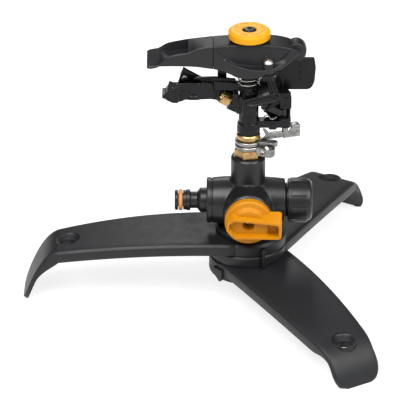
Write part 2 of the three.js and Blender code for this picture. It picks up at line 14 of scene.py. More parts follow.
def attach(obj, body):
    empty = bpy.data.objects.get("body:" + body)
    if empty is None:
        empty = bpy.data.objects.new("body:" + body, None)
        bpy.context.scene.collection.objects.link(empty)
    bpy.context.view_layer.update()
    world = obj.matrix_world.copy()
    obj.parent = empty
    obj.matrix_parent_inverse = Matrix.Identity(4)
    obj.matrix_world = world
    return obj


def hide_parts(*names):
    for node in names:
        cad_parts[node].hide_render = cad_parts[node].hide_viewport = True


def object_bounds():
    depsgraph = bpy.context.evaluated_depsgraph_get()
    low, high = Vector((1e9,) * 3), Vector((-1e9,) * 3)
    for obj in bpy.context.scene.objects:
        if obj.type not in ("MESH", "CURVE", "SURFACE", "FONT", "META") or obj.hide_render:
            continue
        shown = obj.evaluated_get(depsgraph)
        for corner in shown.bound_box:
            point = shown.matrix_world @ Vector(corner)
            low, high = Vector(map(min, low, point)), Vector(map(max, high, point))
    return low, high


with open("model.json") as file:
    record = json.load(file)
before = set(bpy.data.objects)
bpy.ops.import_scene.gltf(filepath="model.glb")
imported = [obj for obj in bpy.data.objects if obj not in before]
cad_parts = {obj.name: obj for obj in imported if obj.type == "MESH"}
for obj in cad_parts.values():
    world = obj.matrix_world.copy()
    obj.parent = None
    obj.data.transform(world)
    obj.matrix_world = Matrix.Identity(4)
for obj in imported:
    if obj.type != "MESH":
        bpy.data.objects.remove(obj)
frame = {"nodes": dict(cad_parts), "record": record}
CAD_BOX = [list(corner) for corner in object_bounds()]
MM = 0.001
MERGE_DISTANCE = 0.0005        # points nearer than this, in millimetres, are one point
GROUND = CAD_BOX[0][2]         # height of the ground in the frame, in metres

# -------- driving dimensions, millimetres
HUB_UNDERSIDE = 21.5
HUB_RADIUS = 30.1
LEG_TOP = 55.6
LEG_PITCH = 9.6
LEG_DEPTH = 9.2
LEG_WALL = 2.4
LEG_CHAMFER = 1.9
LEG_HALF_WIDTH = 28.7
FOOT_HALF_WIDTH = 20
LEG_TIP = 176.7
TIP_STEP = 6.1
ARCH_RADIUS = 637
BEND_LENGTH = 28.7
FOOT_SLOPE = 3
FOOT_THICKNESS = 3.4
FOOT_ROUNDING = 15
PEG_HOLE = 141
SPINDLE_RADIUS = 5.5
PEDESTAL_RADIUS = 25
INLET_AXIS = 80.8
RISER_TOP = 120
NECK_TOP = 139.5
NOZZLE_TILT = math.radians(27)
NOZZLE_BASE = 159
SEAM_X = -27
DIAL_RADIUS = 16
DIAL_BOTTOM = 219.5
DIAL_TOP = 226.2
COLUMN_X = 28
COLUMN_Y = 0.5

CAMERA_PITCH = math.radians(28.115)
CAMERA_DISTANCE = 2009.8
CAMERA_AIM = (-37.2, 0, 80.53)
CAMERA_LENS = 232.26

DOME_FRONT = 0.45              # brightness of the studio's dome in front of the object
DOME_BACK = 0.05
DOME_TOP = 0.6


# -------- mesh helpers
def mesh_object(points, faces):
    mesh = bpy.data.meshes.new("shape")
    mesh.from_pydata([tuple(p) for p in points], [], faces)
    return placed(mesh)


def new_object(name, data):
    """An object with a mesh, curve, lamp or camera, put into the scene."""
    obj = bpy.data.objects.new(name, data)
    bpy.context.scene.collection.objects.link(obj)
    return obj


def placed(mesh):
    """Cleans a mesh and puts it into the scene."""
    tidy_mesh(mesh)
    return new_object("shape", mesh)


def tidy_mesh(mesh):
    """Merges doubled points, drops empty faces and turns every face outwards."""
    bm = bmesh.new()
    bm.from_mesh(mesh)
    bmesh.ops.remove_doubles(bm, verts=bm.verts, dist=MERGE_DISTANCE)
    bmesh.ops.dissolve_degenerate(bm, edges=bm.edges, dist=MERGE_DISTANCE / 5)
    bmesh.ops.recalc_face_normals(bm, faces=bm.faces)
    bm.to_mesh(mesh)
    bm.free()


def rounded(corners, radius=0.4, steps=4):
    """A closed outline with its corners turned into curves; a corner's third value is its own radius."""
    points = []
    for i, corner in enumerate(corners):
        here = Vector(corner[:2])
        size = corner[2] if len(corner) > 2 else radius
        before = Vector(corners[i - 1][:2]) - here
        after = Vector(corners[(i + 1) % len(corners)][:2]) - here
        angle = before.angle(after)
        if size <= 0 or angle > math.radians(176):
            points.append(here)
            continue
        reach = min(size / math.tan(angle / 2), before.length * 0.49, after.length * 0.49)
        start = here + before.normalized() * reach
        end = here + after.normalized() * reach
        for step in range(steps + 1):
            t = step / steps
            points.append(start * (1 - t) ** 2 + here * 2 * t * (1 - t) + end * t ** 2)
    return points


def curve_points(start, control, end, count):
    """A quadratic curve between two flat points."""
    a, b, c = Vector(start), Vector(control), Vector(end)
    steps = [i / count for i in range(count + 1)]
    return [a * (1 - t) ** 2 + b * 2 * t * (1 - t) + c * t ** 2 for t in steps]


def arc(centre_x, centre_y, radius, start, end, count=12):
    """Points on a circle from one angle to another, in degrees."""
    angles = [math.radians(start + (end - start) * i / count) for i in range(count + 1)]
    return [(centre_x + radius * math.cos(a), centre_y + radius * math.sin(a)) for a in angles]


ALONG_Z = Matrix.Identity(4)
ALONG_X = Matrix.Translation((0, 0, INLET_AXIS)) @ Matrix.Rotation(math.pi / 2, 4, "Y")
TOWARD_FRONT = Matrix.Translation((0, 0, INLET_AXIS)) @ Matrix.Rotation(math.pi / 2, 4, "X")
AT_SCREW = Matrix.Translation((14, -15.3, 0))


def lathe(profile, place=ALONG_Z, segments=96):
    """A closed profile of (radius, height) turned about an axis."""
    points, faces = [], []
    count = len(profile)
    for i in range(segments):
        angle = 2 * math.pi * i / segments
        for radius, height in profile:
            points.append(place @ Vector((radius * math.cos(angle), radius * math.sin(angle), height)))
        following = (i + 1) % segments
        for j in range(count):
            k = (j + 1) % count
            if profile[j][0] > 0 or profile[k][0] > 0:
                faces.append((i * count + j, following * count + j, following * count + k, i * count + k))
    return mesh_object(points, faces)


def spun(corners, edge, segments=96, place=ALONG_Z):
    """An outline of (radius, height) with rounded corners, turned about an axis."""
    return lathe(rounded(corners, edge), place, segments)


def ring_profile(inner, outer, low, high, edge=0.4):
    return rounded([(inner, low), (outer, low), (outer, high), (inner, high)], edge)


PLANES = {
    "xy": lambda u, v, w: (u, v, w),
    "xz": lambda u, v, w: (u, w, v),
    "yz": lambda u, v, w: (w, u, v),
}


def prism(outline, low, high, plane="xy", edge=0.4):
    """An outline raised from low to high, with its two rims rounded."""
    at = PLANES[plane]
    count = len(outline)
    points = [at(u, v, low) for u, v in outline] + [at(u, v, high) for u, v in outline]
    faces = [tuple(range(count)), tuple(range(count, 2 * count))]
    faces += [(i, (i + 1) % count, count + (i + 1) % count, count + i) for i in range(count)]
    obj = mesh_object(points, faces)
    if edge > 0:
        bevel_edges(obj, edge, lambda e: any(len(f.verts) == count for f in e.link_faces))
    return obj


def slab(corners, corner, low, high, edge=0.4):
    """A rounded outline in the XZ plane, as thick as low to high along Y."""
    return prism(rounded(corners, corner), low, high, "xz", edge)


def bevel_edges(obj, width, wanted, segments=3):
    bm = bmesh.new()
    bm.from_mesh(obj.data)
    edges = [e for e in bm.edges if wanted(e)]
    bmesh.ops.bevel(bm, geom=edges, offset=width, segments=segments, profile=0.5, affect="EDGES",
        clamp_overlap=True)
    bm.to_mesh(obj.data)
    bm.free()


def sharper_than(degrees):
    return lambda e: len(e.link_faces) == 2 and e.calc_face_angle(0) > math.radians(degrees)


def box(x0, x1, y0, y1, z0, z1, edge=0.4, corner=0.6):
    """A block with rounded upright corners and rims."""
    outline = rounded([(x0, y0), (x1, y0), (x1, y1), (x0, y1)], corner)
    return prism(outline, z0, z1, "xy", edge)


def loft(sections):
    """A skin over closed loops of equal length."""
    count = len(sections[0])
    points = [p for section in sections for p in section]
    faces = []
    for i in range(len(sections) - 1):
        for j in range(count):
            k = (j + 1) % count
            faces.append((i * count + j, i * count + k, (i + 1) * count + k, (i + 1) * count + j))
    faces.append(tuple(range(count)))
    faces.append(tuple(range(len(points) - count, len(points))))
    return mesh_object(points, faces)


def upright_to(direction):
    """The turn that brings the Z axis to a direction."""
    return Vector((0, 0, 1)).rotation_difference(direction).to_matrix().to_4x4()


def rod(start, end, outer, inner=0, edge=0.3, segments=48):
    """A straight rod or tube between two points."""
    start, end = Vector(start), Vector(end)
    length = (end - start).length
    inner_edge = edge if inner > 0 else 0
    corners = [(inner, 0, inner_edge), (outer, 0), (outer, length), (inner, length, inner_edge)]
    return spun(corners, edge, segments, Matrix.Translation(start) @ upright_to(end - start))


def tube(points, radius, resolution=6):
    """A round wire along a smooth line through points."""
    curve = bpy.data.curves.new("wire", "CURVE")
    curve.dimensions = "3D"
    curve.bevel_depth = radius
    curve.bevel_resolution = 4
    curve.resolution_u = resolution
    curve.use_fill_caps = True
    spline = curve.splines.new("NURBS")
    spline.points.add(len(points) - 1)
    for target, point in zip(spline.points, points):
        target.co = (*point, 1)
    spline.order_u = 4
    spline.use_endpoint_u = True
    holder = new_object("wire", curve)
    mesh = bpy.data.meshes.new_from_object(holder.evaluated_get(bpy.context.evaluated_depsgraph_get()))
    bpy.data.objects.remove(holder)
    return placed(mesh)


def settle(obj):
    """Applies an object's modifiers to its mesh."""
    bpy.context.view_layer.update()
    result = bpy.data.meshes.new_from_object(obj.evaluated_get(bpy.context.evaluated_depsgraph_get()))
    obj.modifiers.clear()
    obj.data = result
    return obj


def combine(target, others, operation):
    for other in others:
        modifier = target.modifiers.new(operation, "BOOLEAN")
        modifier.operation = operation
        modifier.solver = "MANIFOLD"
        modifier.object = other
    settle(target)
    for other in others:
        bpy.data.objects.remove(other)
    return target


def join(target, *others):
    return combine(target, others, "UNION")


def cut(target, *others):
    return combine(target, others, "DIFFERENCE")


def melt(obj, grain, passes):
    """Fuses a joined shape into one even skin with small moulded fillets."""
    remesh = obj.modifiers.new("skin", "REMESH")
    remesh.mode = "VOXEL"
    remesh.voxel_size = grain
    smooth = obj.modifiers.new("fillets", "SMOOTH")
    smooth.factor = 0.5
    smooth.iterations = passes
    return settle(obj)


def moved(obj, matrix):
    obj.data.transform(matrix)
    return obj


def turned(obj, degrees):
    """Turned about the spin axis."""
    return moved(obj, Matrix.Rotation(math.radians(degrees), 4, "Z"))


def publish(obj, name, body, slot, stands_for=(), sharp=32, look=None):
    """Names a finished shape, brings it into the frame and hands it to its CAD body."""
    obj.name = name
    mesh = obj.data
    if not mesh.polygons:
        raise ValueError(name + " has no faces")
    mesh.transform(Matrix.Translation((0, 0, GROUND)) @ Matrix.Scale(MM, 4))
    mesh.polygons.foreach_set("use_smooth", [True] * len(mesh.polygons))
    mesh.set_sharp_from_angle(angle=math.radians(sharp))
    mesh.materials.clear()
    mesh.materials.append(MATERIALS[look or slot])
    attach(obj, body)
    if stands_for:
        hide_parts(*stands_for)
    return obj


# -------- materials
def new_material(name):
    material = bpy.data.materials.new(name)
    material.use_nodes = True
    nodes = material.node_tree.nodes
    links = material.node_tree.links
    return material, nodes, links, nodes["Principled BSDF"]


def setup(node, values):
    """Sets a node's inputs by their names."""
    for socket, value in values.items():
        node.inputs[socket].default_value = value


def noise(nodes, links, scale, detail=4, rough=0.55, stretch=0):
    """Noise in the object's own metres, drawn out into scratches if it is stretched."""
    place = nodes.new("ShaderNodeTexCoord").outputs["Object"]
    if stretch:
        mapping = nodes.new("ShaderNodeMapping")
        mapping.inputs["Scale"].default_value = (1, 1, stretch)
        links.new(place, mapping.inputs["Vector"])
        place = mapping.outputs["Vector"]
    texture = nodes.new("ShaderNodeTexNoise")
    setup(texture, {"Scale": scale, "Detail": detail, "Roughness": rough})
    links.new(place, texture.inputs["Vector"])
    return texture.outputs["Fac"]


def spread(nodes, links, source, low, high, start=0.3, stop=0.7):
    """Maps a texture's value to the range from low to high."""
    reach = nodes.new("ShaderNodeMapRange")
    setup(reach, {"From Min": start, "From Max": stop, "To Min": low, "To Max": high})
    links.new(source, reach.inputs["Value"])
    return reach.outputs["Result"]


def mix_colors(nodes, links, factor, first, second):
    mix = nodes.new("ShaderNodeMix")
    mix.data_type = "RGBA"
    setup(mix, {"A": (*first, 1), "B": (*second, 1)})
    links.new(factor, mix.inputs["Factor"])
    return mix.outputs["Result"]


def bump(nodes, links, height, strength, distance, shader):
    node = nodes.new("ShaderNodeBump")
    setup(node, {"Strength": strength, "Distance": distance})
    links.new(height, node.inputs["Height"])
    links.new(node.outputs["Normal"], shader.inputs["Normal"])


def moulded_plastic(name, dark, light, rough_low, rough_high, grain, grain_depth, shine):
    """Moulded plastic: slow mottling, a fine moulded grain and uneven gloss."""
    material, nodes, links, shader = new_material(name)
    shader.inputs["Specular IOR Level"].default_value = shine
    mottle = noise(nodes, links, 45)
    factor = spread(nodes, links, mottle, 0, 1)
    links.new(mix_colors(nodes, links, factor, dark, light), shader.inputs["Base Color"])
    patches = noise(nodes, links, 110, 6)
    links.new(spread(nodes, links, patches, rough_low, rough_high), shader.inputs["Roughness"])
    texture = noise(nodes, links, grain, 3, 0.6)
    bump(nodes, links, texture, 0.35, grain_depth, shader)
    return material


def cast_metal(name, dark, light, rough_low, rough_high, brushed):
    """Plated or turned metal with fine scratches across it and a little tarnish."""
    material, nodes, links, shader = new_material(name)
    shader.inputs["Metallic"].default_value = 1
    tarnish = noise(nodes, links, 260, 5)
    factor = spread(nodes, links, tarnish, 0, 1)
    links.new(mix_colors(nodes, links, factor, dark, light), shader.inputs["Base Color"])
    scratches = noise(nodes, links, 500, 4, 0.5, brushed)
    links.new(spread(nodes, links, scratches, rough_low, rough_high), shader.inputs["Roughness"])
    bump(nodes, links, scratches, 0.12, 0.0001, shader)
    return material


PLASTICS = {                   # dark and light colour, least and most roughness, grain, its depth, shine
    "leg_plastic": ((0.0088, 0.0091, 0.0102), (0.0108, 0.0112, 0.0124), 0.42, 0.5, 2600, 0.0001, 0.33),
    "head_plastic": ((0.006, 0.0062, 0.0072), (0.009, 0.0092, 0.0105), 0.42, 0.5, 3200, 0.00008, 0.34),
    # painted shade: the black plastic made darker and duller for the head's inner pieces, which sit in
    # shade behind the cover
    "shade_darkened_plastic": ((0.0032, 0.0034, 0.0042), (0.0052, 0.0054, 0.0066), 0.25, 0.34, 3200, 0.00008, 0.22),
    "black_plastic": ((0.006, 0.006, 0.0065), (0.009, 0.009, 0.0095), 0.28, 0.38, 3400, 0.00005, 0.36),
    "orange_plastic": ((0.58, 0.25, 0.001), (0.64, 0.285, 0.002), 0.34, 0.42, 3400, 0.00004, 0.2),
    "handle_plastic": ((0.42, 0.155, 0.001), (0.47, 0.18, 0.002), 0.34, 0.42, 3400, 0.00004, 0.2),
    "rubber": ((0.008, 0.008, 0.008), (0.012, 0.012, 0.012), 0.6, 0.75, 2400, 0.0001, 0.36),
    "amber_rubber": ((0.44, 0.18, 0.055), (0.52, 0.23, 0.08), 0.4, 0.5, 2400, 0.00005, 0.36),
}
METALS = {                     # dark and light colour, least and most roughness, length of the scratches
    "brass": ((0.32, 0.19, 0.07), (0.56, 0.38, 0.17), 0.24, 0.38, 8),
    "steel": ((0.13, 0.13, 0.127), (0.34, 0.335, 0.325), 0.26, 0.42, 6),
    "bright_steel": ((0.40, 0.40, 0.39), (0.70, 0.69, 0.67), 0.2, 0.32, 6),
}
MATERIALS = {name: moulded_plastic(name, *look) for name, look in PLASTICS.items()}
MATERIALS.update({name: cast_metal(name, *look) for name, look in METALS.items()})


# -------- folding legs
def arch_height(radius, top):
    return top - max(radius - HUB_RADIUS, 0) ** 2 / (2 * ARCH_RADIUS)


def leg_path(tip, top):
    """The leg's centre line on its top face, from inside the hub to the foot."""
    bend_start = tip - BEND_LENGTH
    bend_top = arch_height(bend_start, top)
    tangent = (bend_start - HUB_RADIUS) / ARCH_RADIUS
    corner = (FOOT_SLOPE * tip - bend_top - tangent * bend_start) / (FOOT_SLOPE - tangent)
    start = 10
    steps = 24
    line = []
    for i in range(steps):
        radius = start + (bend_start - start) * i / steps
        line.append(Vector((radius, arch_height(radius, top))))
    line += curve_points((bend_start, bend_top), (corner, FOOT_SLOPE * (tip - corner)), (tip, 0), 28)
    return line


def leg_half_width(radius, from_tip):
    width = max(LEG_HALF_WIDTH - (radius - 20) ** 2 / 2000, FOOT_HALF_WIDTH)
    if from_tip < FOOT_ROUNDING:
        share = (FOOT_ROUNDING - from_tip) / FOOT_ROUNDING
        width -= 8 * (1 - math.sqrt(max(0, 1 - share ** 2)))
    return width


def leg_section(width, depth):
    """Half the channel's section is mirrored: skirt, chamfered edge, top and inner wall."""
    outer = [(width, -depth), (width, -LEG_CHAMFER), (width - LEG_CHAMFER, 0)]
    top = [((width - LEG_CHAMFER) * share, 0) for share in (0.75, 0.5, 0.25, 0, -0.25, -0.5, -0.75)]
    inner = [(width - LEG_WALL, min(-LEG_WALL, -depth + 0.8)), (width - LEG_WALL, -depth)]
    mirrored = [(-v, h) for v, h in reversed(outer)]
    inner_mirrored = [(-v, h) for v, h in reversed(inner)]
    return outer + top + mirrored + inner_mirrored + inner


def leg_channel(tip, top):
    line = leg_path(tip, top)
    lengths = [0]
    for first, second in zip(line, line[1:]):
        lengths.append(lengths[-1] + (second - first).length)
    sections = []
    for i, point in enumerate(line):
        ahead = line[min(i + 1, len(line) - 1)]
        behind = line[max(i - 1, 0)]
        tangent = (ahead - behind).normalized()
        normal = Vector((-tangent.y, tangent.x))
        from_tip = lengths[-1] - lengths[i]
        narrowing = min(max((BEND_LENGTH + 18 - from_tip) / 26, 0), 1)
        depth = LEG_DEPTH + (FOOT_THICKNESS - LEG_DEPTH) * narrowing ** 2 * (3 - 2 * narrowing)
        loop = []
        for v, h in leg_section(leg_half_width(point.x, from_tip), depth):
            place = point + normal * h
            loop.append((place.x, v, max(place.y, 0)))
        sections.append(loop)
    channel = loft(sections)
    bevel_edges(channel, 0.35, sharper_than(38), 2)
    return channel


def hub_ring(top):
    """One level of the hub: a capped ring with a chamfered upper edge."""
    low = top - LEG_DEPTH
    profile = rounded([(SPINDLE_RADIUS + 0.3, top - 0.02, 0), (HUB_RADIUS - LEG_CHAMFER, top - 0.02),
        (HUB_RADIUS, top - LEG_CHAMFER), (HUB_RADIUS, low), (HUB_RADIUS - LEG_WALL, low),
        (HUB_RADIUS - LEG_WALL, top - LEG_WALL), (SPINDLE_RADIUS + 0.3, top - LEG_WALL, 0)], 0.35)
    return lathe(profile, ALONG_Z, 160)


def peg_hole_tools(top):
    height = arch_height(PEG_HOLE, top)
    rim = lathe(ring_profile(0, 9.3, height - 9.2, height - 1.2, 0), ALONG_Z, 64)
    dish = rounded([(0, height - 2, 0), (8, height - 2, 0.8), (8.6, height - 0.6, 0.4),
        (9.6, height + 0.4, 0), (9.6, height + 6, 0), (0, height + 6, 0)], 0.4)
    bore = [(0, height - 12), (5.4, height - 12), (5.4, height - 3.4), (7.3, height - 2.4),
        (7.3, height - 1), (0, height - 1)]
    tools = [rim, lathe(dish, ALONG_Z, 64), lathe(bore, ALONG_Z, 64)]
    for tool in tools:
        moved(tool, Matrix.Translation((PEG_HOLE, 0, 0)))
    return tools


def build_leg(name, level, azimuth, body):
    tip = LEG_TIP - TIP_STEP * level
    top = LEG_TOP - LEG_PITCH * level
    rim, dish, bore = peg_hole_tools(top)
    leg = join(leg_channel(tip, top), hub_ring(top), rim)
    cut(leg, dish, bore)
    turned(leg, azimuth)
    if level == 0:
        latch = box(10.7, 13.5, -31.4, -26.6, 37, 53.6, 0.5, 0.8)
        cut(latch, rod((0, 0, 30), (0, 0, 46.2), HUB_RADIUS + 0.4, 0, 0, 160))
        ledge = box(9.6, 14.6, -30.8, -26.8, 49.5, 51, 0.3, 0.5)
        join(leg, latch, ledge)
    if level == 2:
        tooth = prism(rounded([(-5, 31), (5, 31), (5, 22.5), (2.6, 20), (-4.6, 25.4)], 0.6), 28.6, 31.8,
            "yz", 0.5)
        join(leg, turned(tooth, 221))
    return publish(leg, name + "_finish", body, "leg_plastic", [name])


def build_legs():
    build_leg("top_leg", 0, 180, "stand")
    build_leg("rear_leg", 1, 60, "rear_stand_leg")
    build_leg("front_leg", 2, -60, "front_stand_leg")
    skirt = LEG_TOP - 3 * LEG_PITCH - 0.3
    base = spun([(0, HUB_UNDERSIDE, 0), (HUB_RADIUS, HUB_UNDERSIDE, 1.2), (HUB_RADIUS, skirt),
        (0, skirt, 0)], 0.4, 160)
    publish(base, "base_cap_finish", "stand", "leg_plastic", ["base_cap"])


# -------- water manifold
def build_manifold():
    pedestal = spun([(SPINDLE_RADIUS + 0.3, LEG_TOP + 0.3, 0), (PEDESTAL_RADIUS, LEG_TOP + 0.3),
        (PEDESTAL_RADIUS, 59.5, 1), (PEDESTAL_RADIUS - 1.5, 61), (18, 61, 0), (18, 59, 0),
        (SPINDLE_RADIUS + 0.3, 59, 0)], 0.3, 160)
    publish(pedestal, "pedestal_finish", "stand", "black_plastic", ["pedestal"])
    crown = curve_points((17.7, -27.6), (20.4, -2), (16.85, 28.9), 24)
    barrel_profile = [(0, -27.6), *crown, (12.7, 28.9), (12.7, 44), (0, 44)]
    barrel = lathe(barrel_profile, ALONG_X, 128)
    foot = spun([(0, 59.3, 0), (17.6, 59.3), (16.5, 66, 3), (16.5, 80, 0), (0, 80, 0)], 0.4, 128)
    riser = spun([(0, 80, 0), (13.4, 80, 0), (13.4, 118.4), (11.9, RISER_TOP), (0, RISER_TOP, 0)], 0.4, 128)
    boss = spun([(0, 0, 0), (19, 0, 0), (19, 28.9), (17.2, 30.8), (0, 30.8, 0)], 0.5, 128, TOWARD_FRONT)
    body = join(barrel, foot, riser, boss)
    riser_bore = spun([(0, 105, 0), (8.6, 105, 0), (8.6, 125, 0), (0, 125, 0)], 0, 64)
    cut(body, riser_bore)
    melt(body, 0.55, 5)
    publish(body, "manifold_finish", "stand", "black_plastic", ["manifold_body"])


def build_inlet():
    collar = spun([(9.9, -32.1), (16.9, -32.1, 0.5), (17.7, -31.3, 0.5), (17.7, -28.1, 0.2),
        (16.7, -28.1, 0), (16.7, -27.2, 0), (9.9, -27.2, 0)], 0.3, 128, ALONG_X)
    publish(collar, "inlet_collar_finish", "stand", "black_plastic", ["inlet_collar"])
    nipple = spun([(4.2, -56.9), (7.2, -56.9, 0.5), (7.9, -56.2, 0.4), (7.9, -54.3, 0.2),
        (5.1, -54.3, 0.2), (5.1, -50.3, 0.2), (7.7, -50.3, 0.2), (7.7, -47.9, 0.1), (8.25, -47.6, 0.3),
        (8.25, -45, 0.4), (6.5, -44.6, 0.6), (6.5, -39.5, 1.2), (9.2, -37.4, 0.6), (9.6, -36.6, 0.4),
        (9.6, -30, 0), (4.2, -30, 0)], 0.3, 96, ALONG_X)
    publish(nipple, "inlet_nipple_finish", "stand", "black_plastic", ["inlet_nipple"])
    section = arc(6.75, -52.3, 1.65, 0, 360, 24)[:-1]
    publish(lathe(section, ALONG_X, 96), "inlet_o_ring_finish", "stand", "amber_rubber", ["inlet_o_ring"])


def build_outlet_cap():
    shell = spun([(0, 49.8, 0), (13.8, 49.8, 1.6), (15.8, 48.2, 1.4), (16.6, 45.5, 1.5), (16.8, 42, 0),
        (16.8, 31, 0.4), (13.1, 31, 0.3), (13.1, 46, 0.3), (0, 46, 0)], 0.3, 128, ALONG_X)
    pads = []
    for i in range(8):
        pad = box(33.2, 45.7, -2.25, 2.25, 15.6, 17.7, 0.4, 0.7)
        spin = Matrix.Translation((0, 0, INLET_AXIS)) @ Matrix.Rotation(i * math.pi / 4, 4, "X")
        pads.append(moved(pad, spin))
    cap = join(shell, *pads)
    publish(cap, "outlet_cap_finish", "cap", "black_plastic", ["outlet_cap"])


def cross_head_screw(head, shank, slot, angle, place):
    """Two lathe profiles and the block that cuts each slot of the cross."""
    screw = join(lathe(head, place, 64), lathe(shank, place, 32))
    slots = [moved(turned(box(*slot, 0, 0.1), turn), place) for turn in (angle, angle + 90)]
    return cut(screw, *slots)


def handle_slice(corners, y):
    return [(p[0], y, p[1]) for p in rounded(corners, 2.6, 6)]


def build_valve():
    disc = spun([(0, 31.4, 0), (17.4, 31.4), (18.3, 32.3, 0.6), (18.3, 37.2, 0.9), (17.2, 38.4, 0.8),
        (13.6, 38.4, 0.6), (11.6, 41.6, 0.8), (0, 41.6, 0)], 0.5, 128, TOWARD_FRONT)
    back = [(-13, 89.6), (25.6, 89.6), (25.6, 70), (-11, 70), (-17.8, 77), (-17.8, 85)]
    front = [(-11.5, 88.6), (25, 84.4), (25, 70.2), (-11, 70.8), (-17.2, 78), (-17.2, 84.6)]
    bar = loft([handle_slice(back, -36), handle_slice(front, -45.6),
        handle_slice(inset_corners(front, 0.5), -46.4)])
    inner = inset_corners(front, 1.9)
    pocket = loft([handle_slice(inset_corners(inner, 1), -41.4), handle_slice(inner, -47)])
    slot = prism(rounded([(14.4, 72.6), (23, 72.6), (23, 82.2), (14.4, 83)], 1.2, 5), -46, -38.6, "xz", 0)
    window = prism(rounded([(18.8, 79.4), (23, 79.4), (23, 82.2), (18.8, 82.6)], 0.6, 5), -46, -35, "xz", 0)
    socket = lathe([(0, 29), (4.5, 29), (4.5, 34.8), (2.2, 34.8), (2.2, 41), (0, 41)], TOWARD_FRONT, 48)
    recess = lathe([(0, 36.2), (3.6, 36.2), (4.7, 41.7), (4.7, 48), (0, 48)], TOWARD_FRONT, 64)
    handle = cut(join(disc, bar), pocket, slot, window, socket, recess)
    publish(handle, "valve_handle_finish", "valve", "orange_plastic", ["valve_handle"],
        look="handle_plastic")
    head = [(0, 35), (3.1, 35), (3.2, 36.4)] + arc(0, 34.2, 3.8, 38, 90, 8)
    shank = rounded([(0, 30, 0), (1.9, 30), (1.9, 35.4), (0, 35.4, 0)], 0.2)
    screw = cross_head_screw(head, shank, (-1.5, 1.5, -0.35, 0.35, 37.2, 39), 45, TOWARD_FRONT)
    publish(screw, "handle_screw_finish", "valve", "steel", ["handle_screw"])


# -------- bearing
def build_bearing():
    hexagon = prism(rounded(arc(0, 0, 11, 10, 310, 5), 0.5), RISER_TOP + 0.3, 126.5, "xy", 0.5)
    neck = spun([(0, 107.5, 0), (8.3, 107.5, 0), (8.3, 134.8, 0.3), (9.3, 135.8, 0.3), (9.3, 138.6, 0.4),
        (8.6, NECK_TOP, 0.3), (0, NECK_TOP, 0)], 0.3)
    collar = spun([(0, 126, 0), (9.6, 126), (9.6, 127), (0, 127, 0)], 0.2)
    bore = lathe([(0, 100), (5.2, 100), (5.2, 145), (0, 145)], ALONG_Z, 64)
    nipple = cut(join(hexagon, neck, collar), bore)
    publish(nipple, "bearing_nipple_finish", "stand", "brass", ["bearing_nipple"])


# -------- range dial
def build_dial():
    outline = [(2.4, DIAL_BOTTOM, 0), (DIAL_RADIUS - 0.9, DIAL_BOTTOM),
        (DIAL_RADIUS, DIAL_BOTTOM + 0.9, 0.7), (DIAL_RADIUS, DIAL_TOP - 1.4, 1.3),
        (DIAL_RADIUS - 2, DIAL_TOP, 1.3), (5.9, DIAL_TOP, 0.4), (5.2, DIAL_TOP - 1, 0.3),
        (5.2, DIAL_TOP - 2, 0.2), (2.4, DIAL_TOP - 2, 0)]
    rim = lathe(rounded(outline, 0.4, 6), ALONG_Z, 144)
    marks = []
    for i in range(8):
        start = 45 * i + 6
        end = start + 29
        mark = arc(0, 0, 11.6, start, end, 10) + arc(0, 0, 9.9, end, start, 10)
        marks.append(prism(mark, DIAL_TOP - 0.35, DIAL_TOP + 0.6, "xy", 0))
    dial = cut(rim, *marks)
    publish(dial, "range_dial_finish", "dial", "orange_plastic", ["range_dial"])
    button = spun([(0, DIAL_TOP - 1.6, 0), (4.8, DIAL_TOP - 1.6), (4.8, DIAL_TOP + 0.1, 0.5),
        (4, DIAL_TOP + 0.7, 0.5), (0, DIAL_TOP + 0.9, 0)], 0.3)
    cut(button, prism(arc(0, 0, 2.1, 0, 300, 5), DIAL_TOP - 0.6, DIAL_TOP + 2, "xy", 0))
    stem = rod((0, 0, 200), (0, 0, DIAL_TOP - 1.2), 2)
    publish(join(button, stem), "dial_spindle_finish", "dial", "black_plastic", ["dial_spindle"])


# -------- head cover
def smooth_path(points):
    """A function that runs smoothly through (x, value) points."""
    def value(x):
        if x <= points[0][0]:
            return points[0][1]
        for i in range(len(points) - 1):
            (x0, v0), (x1, v1) = points[i], points[i + 1]
            if x <= x1:
                t = (x - x0) / (x1 - x0)
                before = points[max(i - 1, 0)]
                after = points[min(i + 2, len(points) - 1)]
                slope0 = (v1 - before[1]) / (x1 - before[0]) * (x1 - x0)
                slope1 = (after[1] - v0) / (after[0] - x0) * (x1 - x0)
                return ((2 * t ** 3 - 3 * t ** 2 + 1) * v0 + (t ** 3 - 2 * t ** 2 + t) * slope0
                    + (3 * t ** 2 - 2 * t ** 3) * v1 + (t ** 3 - t ** 2) * slope1)
        return points[-1][1]
    return value


ridge_height = smooth_path([(-27, 216.3), (-12, 217.3), (4, 217.6), (18, 217.1), (28, 215.4), (34, 213.2),
    (40, 210)])
ridge_width = smooth_path([(-27, 10.2), (0, 10.2), (24, 10.2), (32, 9.2), (40, 6)])
lip_width = smooth_path([(-27, 9.9), (-22, 11), (-16, 15), (-9, 18.8), (0, 20.4), (10, 20.2), (18, 18.2),
    (26, 14), (33, 9.8), (40, 6.3)])
lip_top = smooth_path([(-27, 206.5), (-18, 205.6), (-7, 203.4), (1, 201.7), (9, 201.1), (20, 202),
    (28, 205), (34, 208.8), (40, 213)])
lip_bottom = smooth_path([(-27, 197.7), (-16, 196.2), (-8, 194.3), (0, 194), (6, 194.9), (13, 197.6),
    (18, 198.6), (24, 200), (30, 203.2), (40, 208.6)])
panel_foot = smooth_path([(-27, 215.5), (-23.5, 211.5), (-18, 206.8), (-10, 202.6), (0, 200.9), (9, 200.9),
    (18, 202.8), (25, 206.7), (30.5, 211.6), (34, 213), (40, 209.5)])
PANEL_DEPTH = 0.7


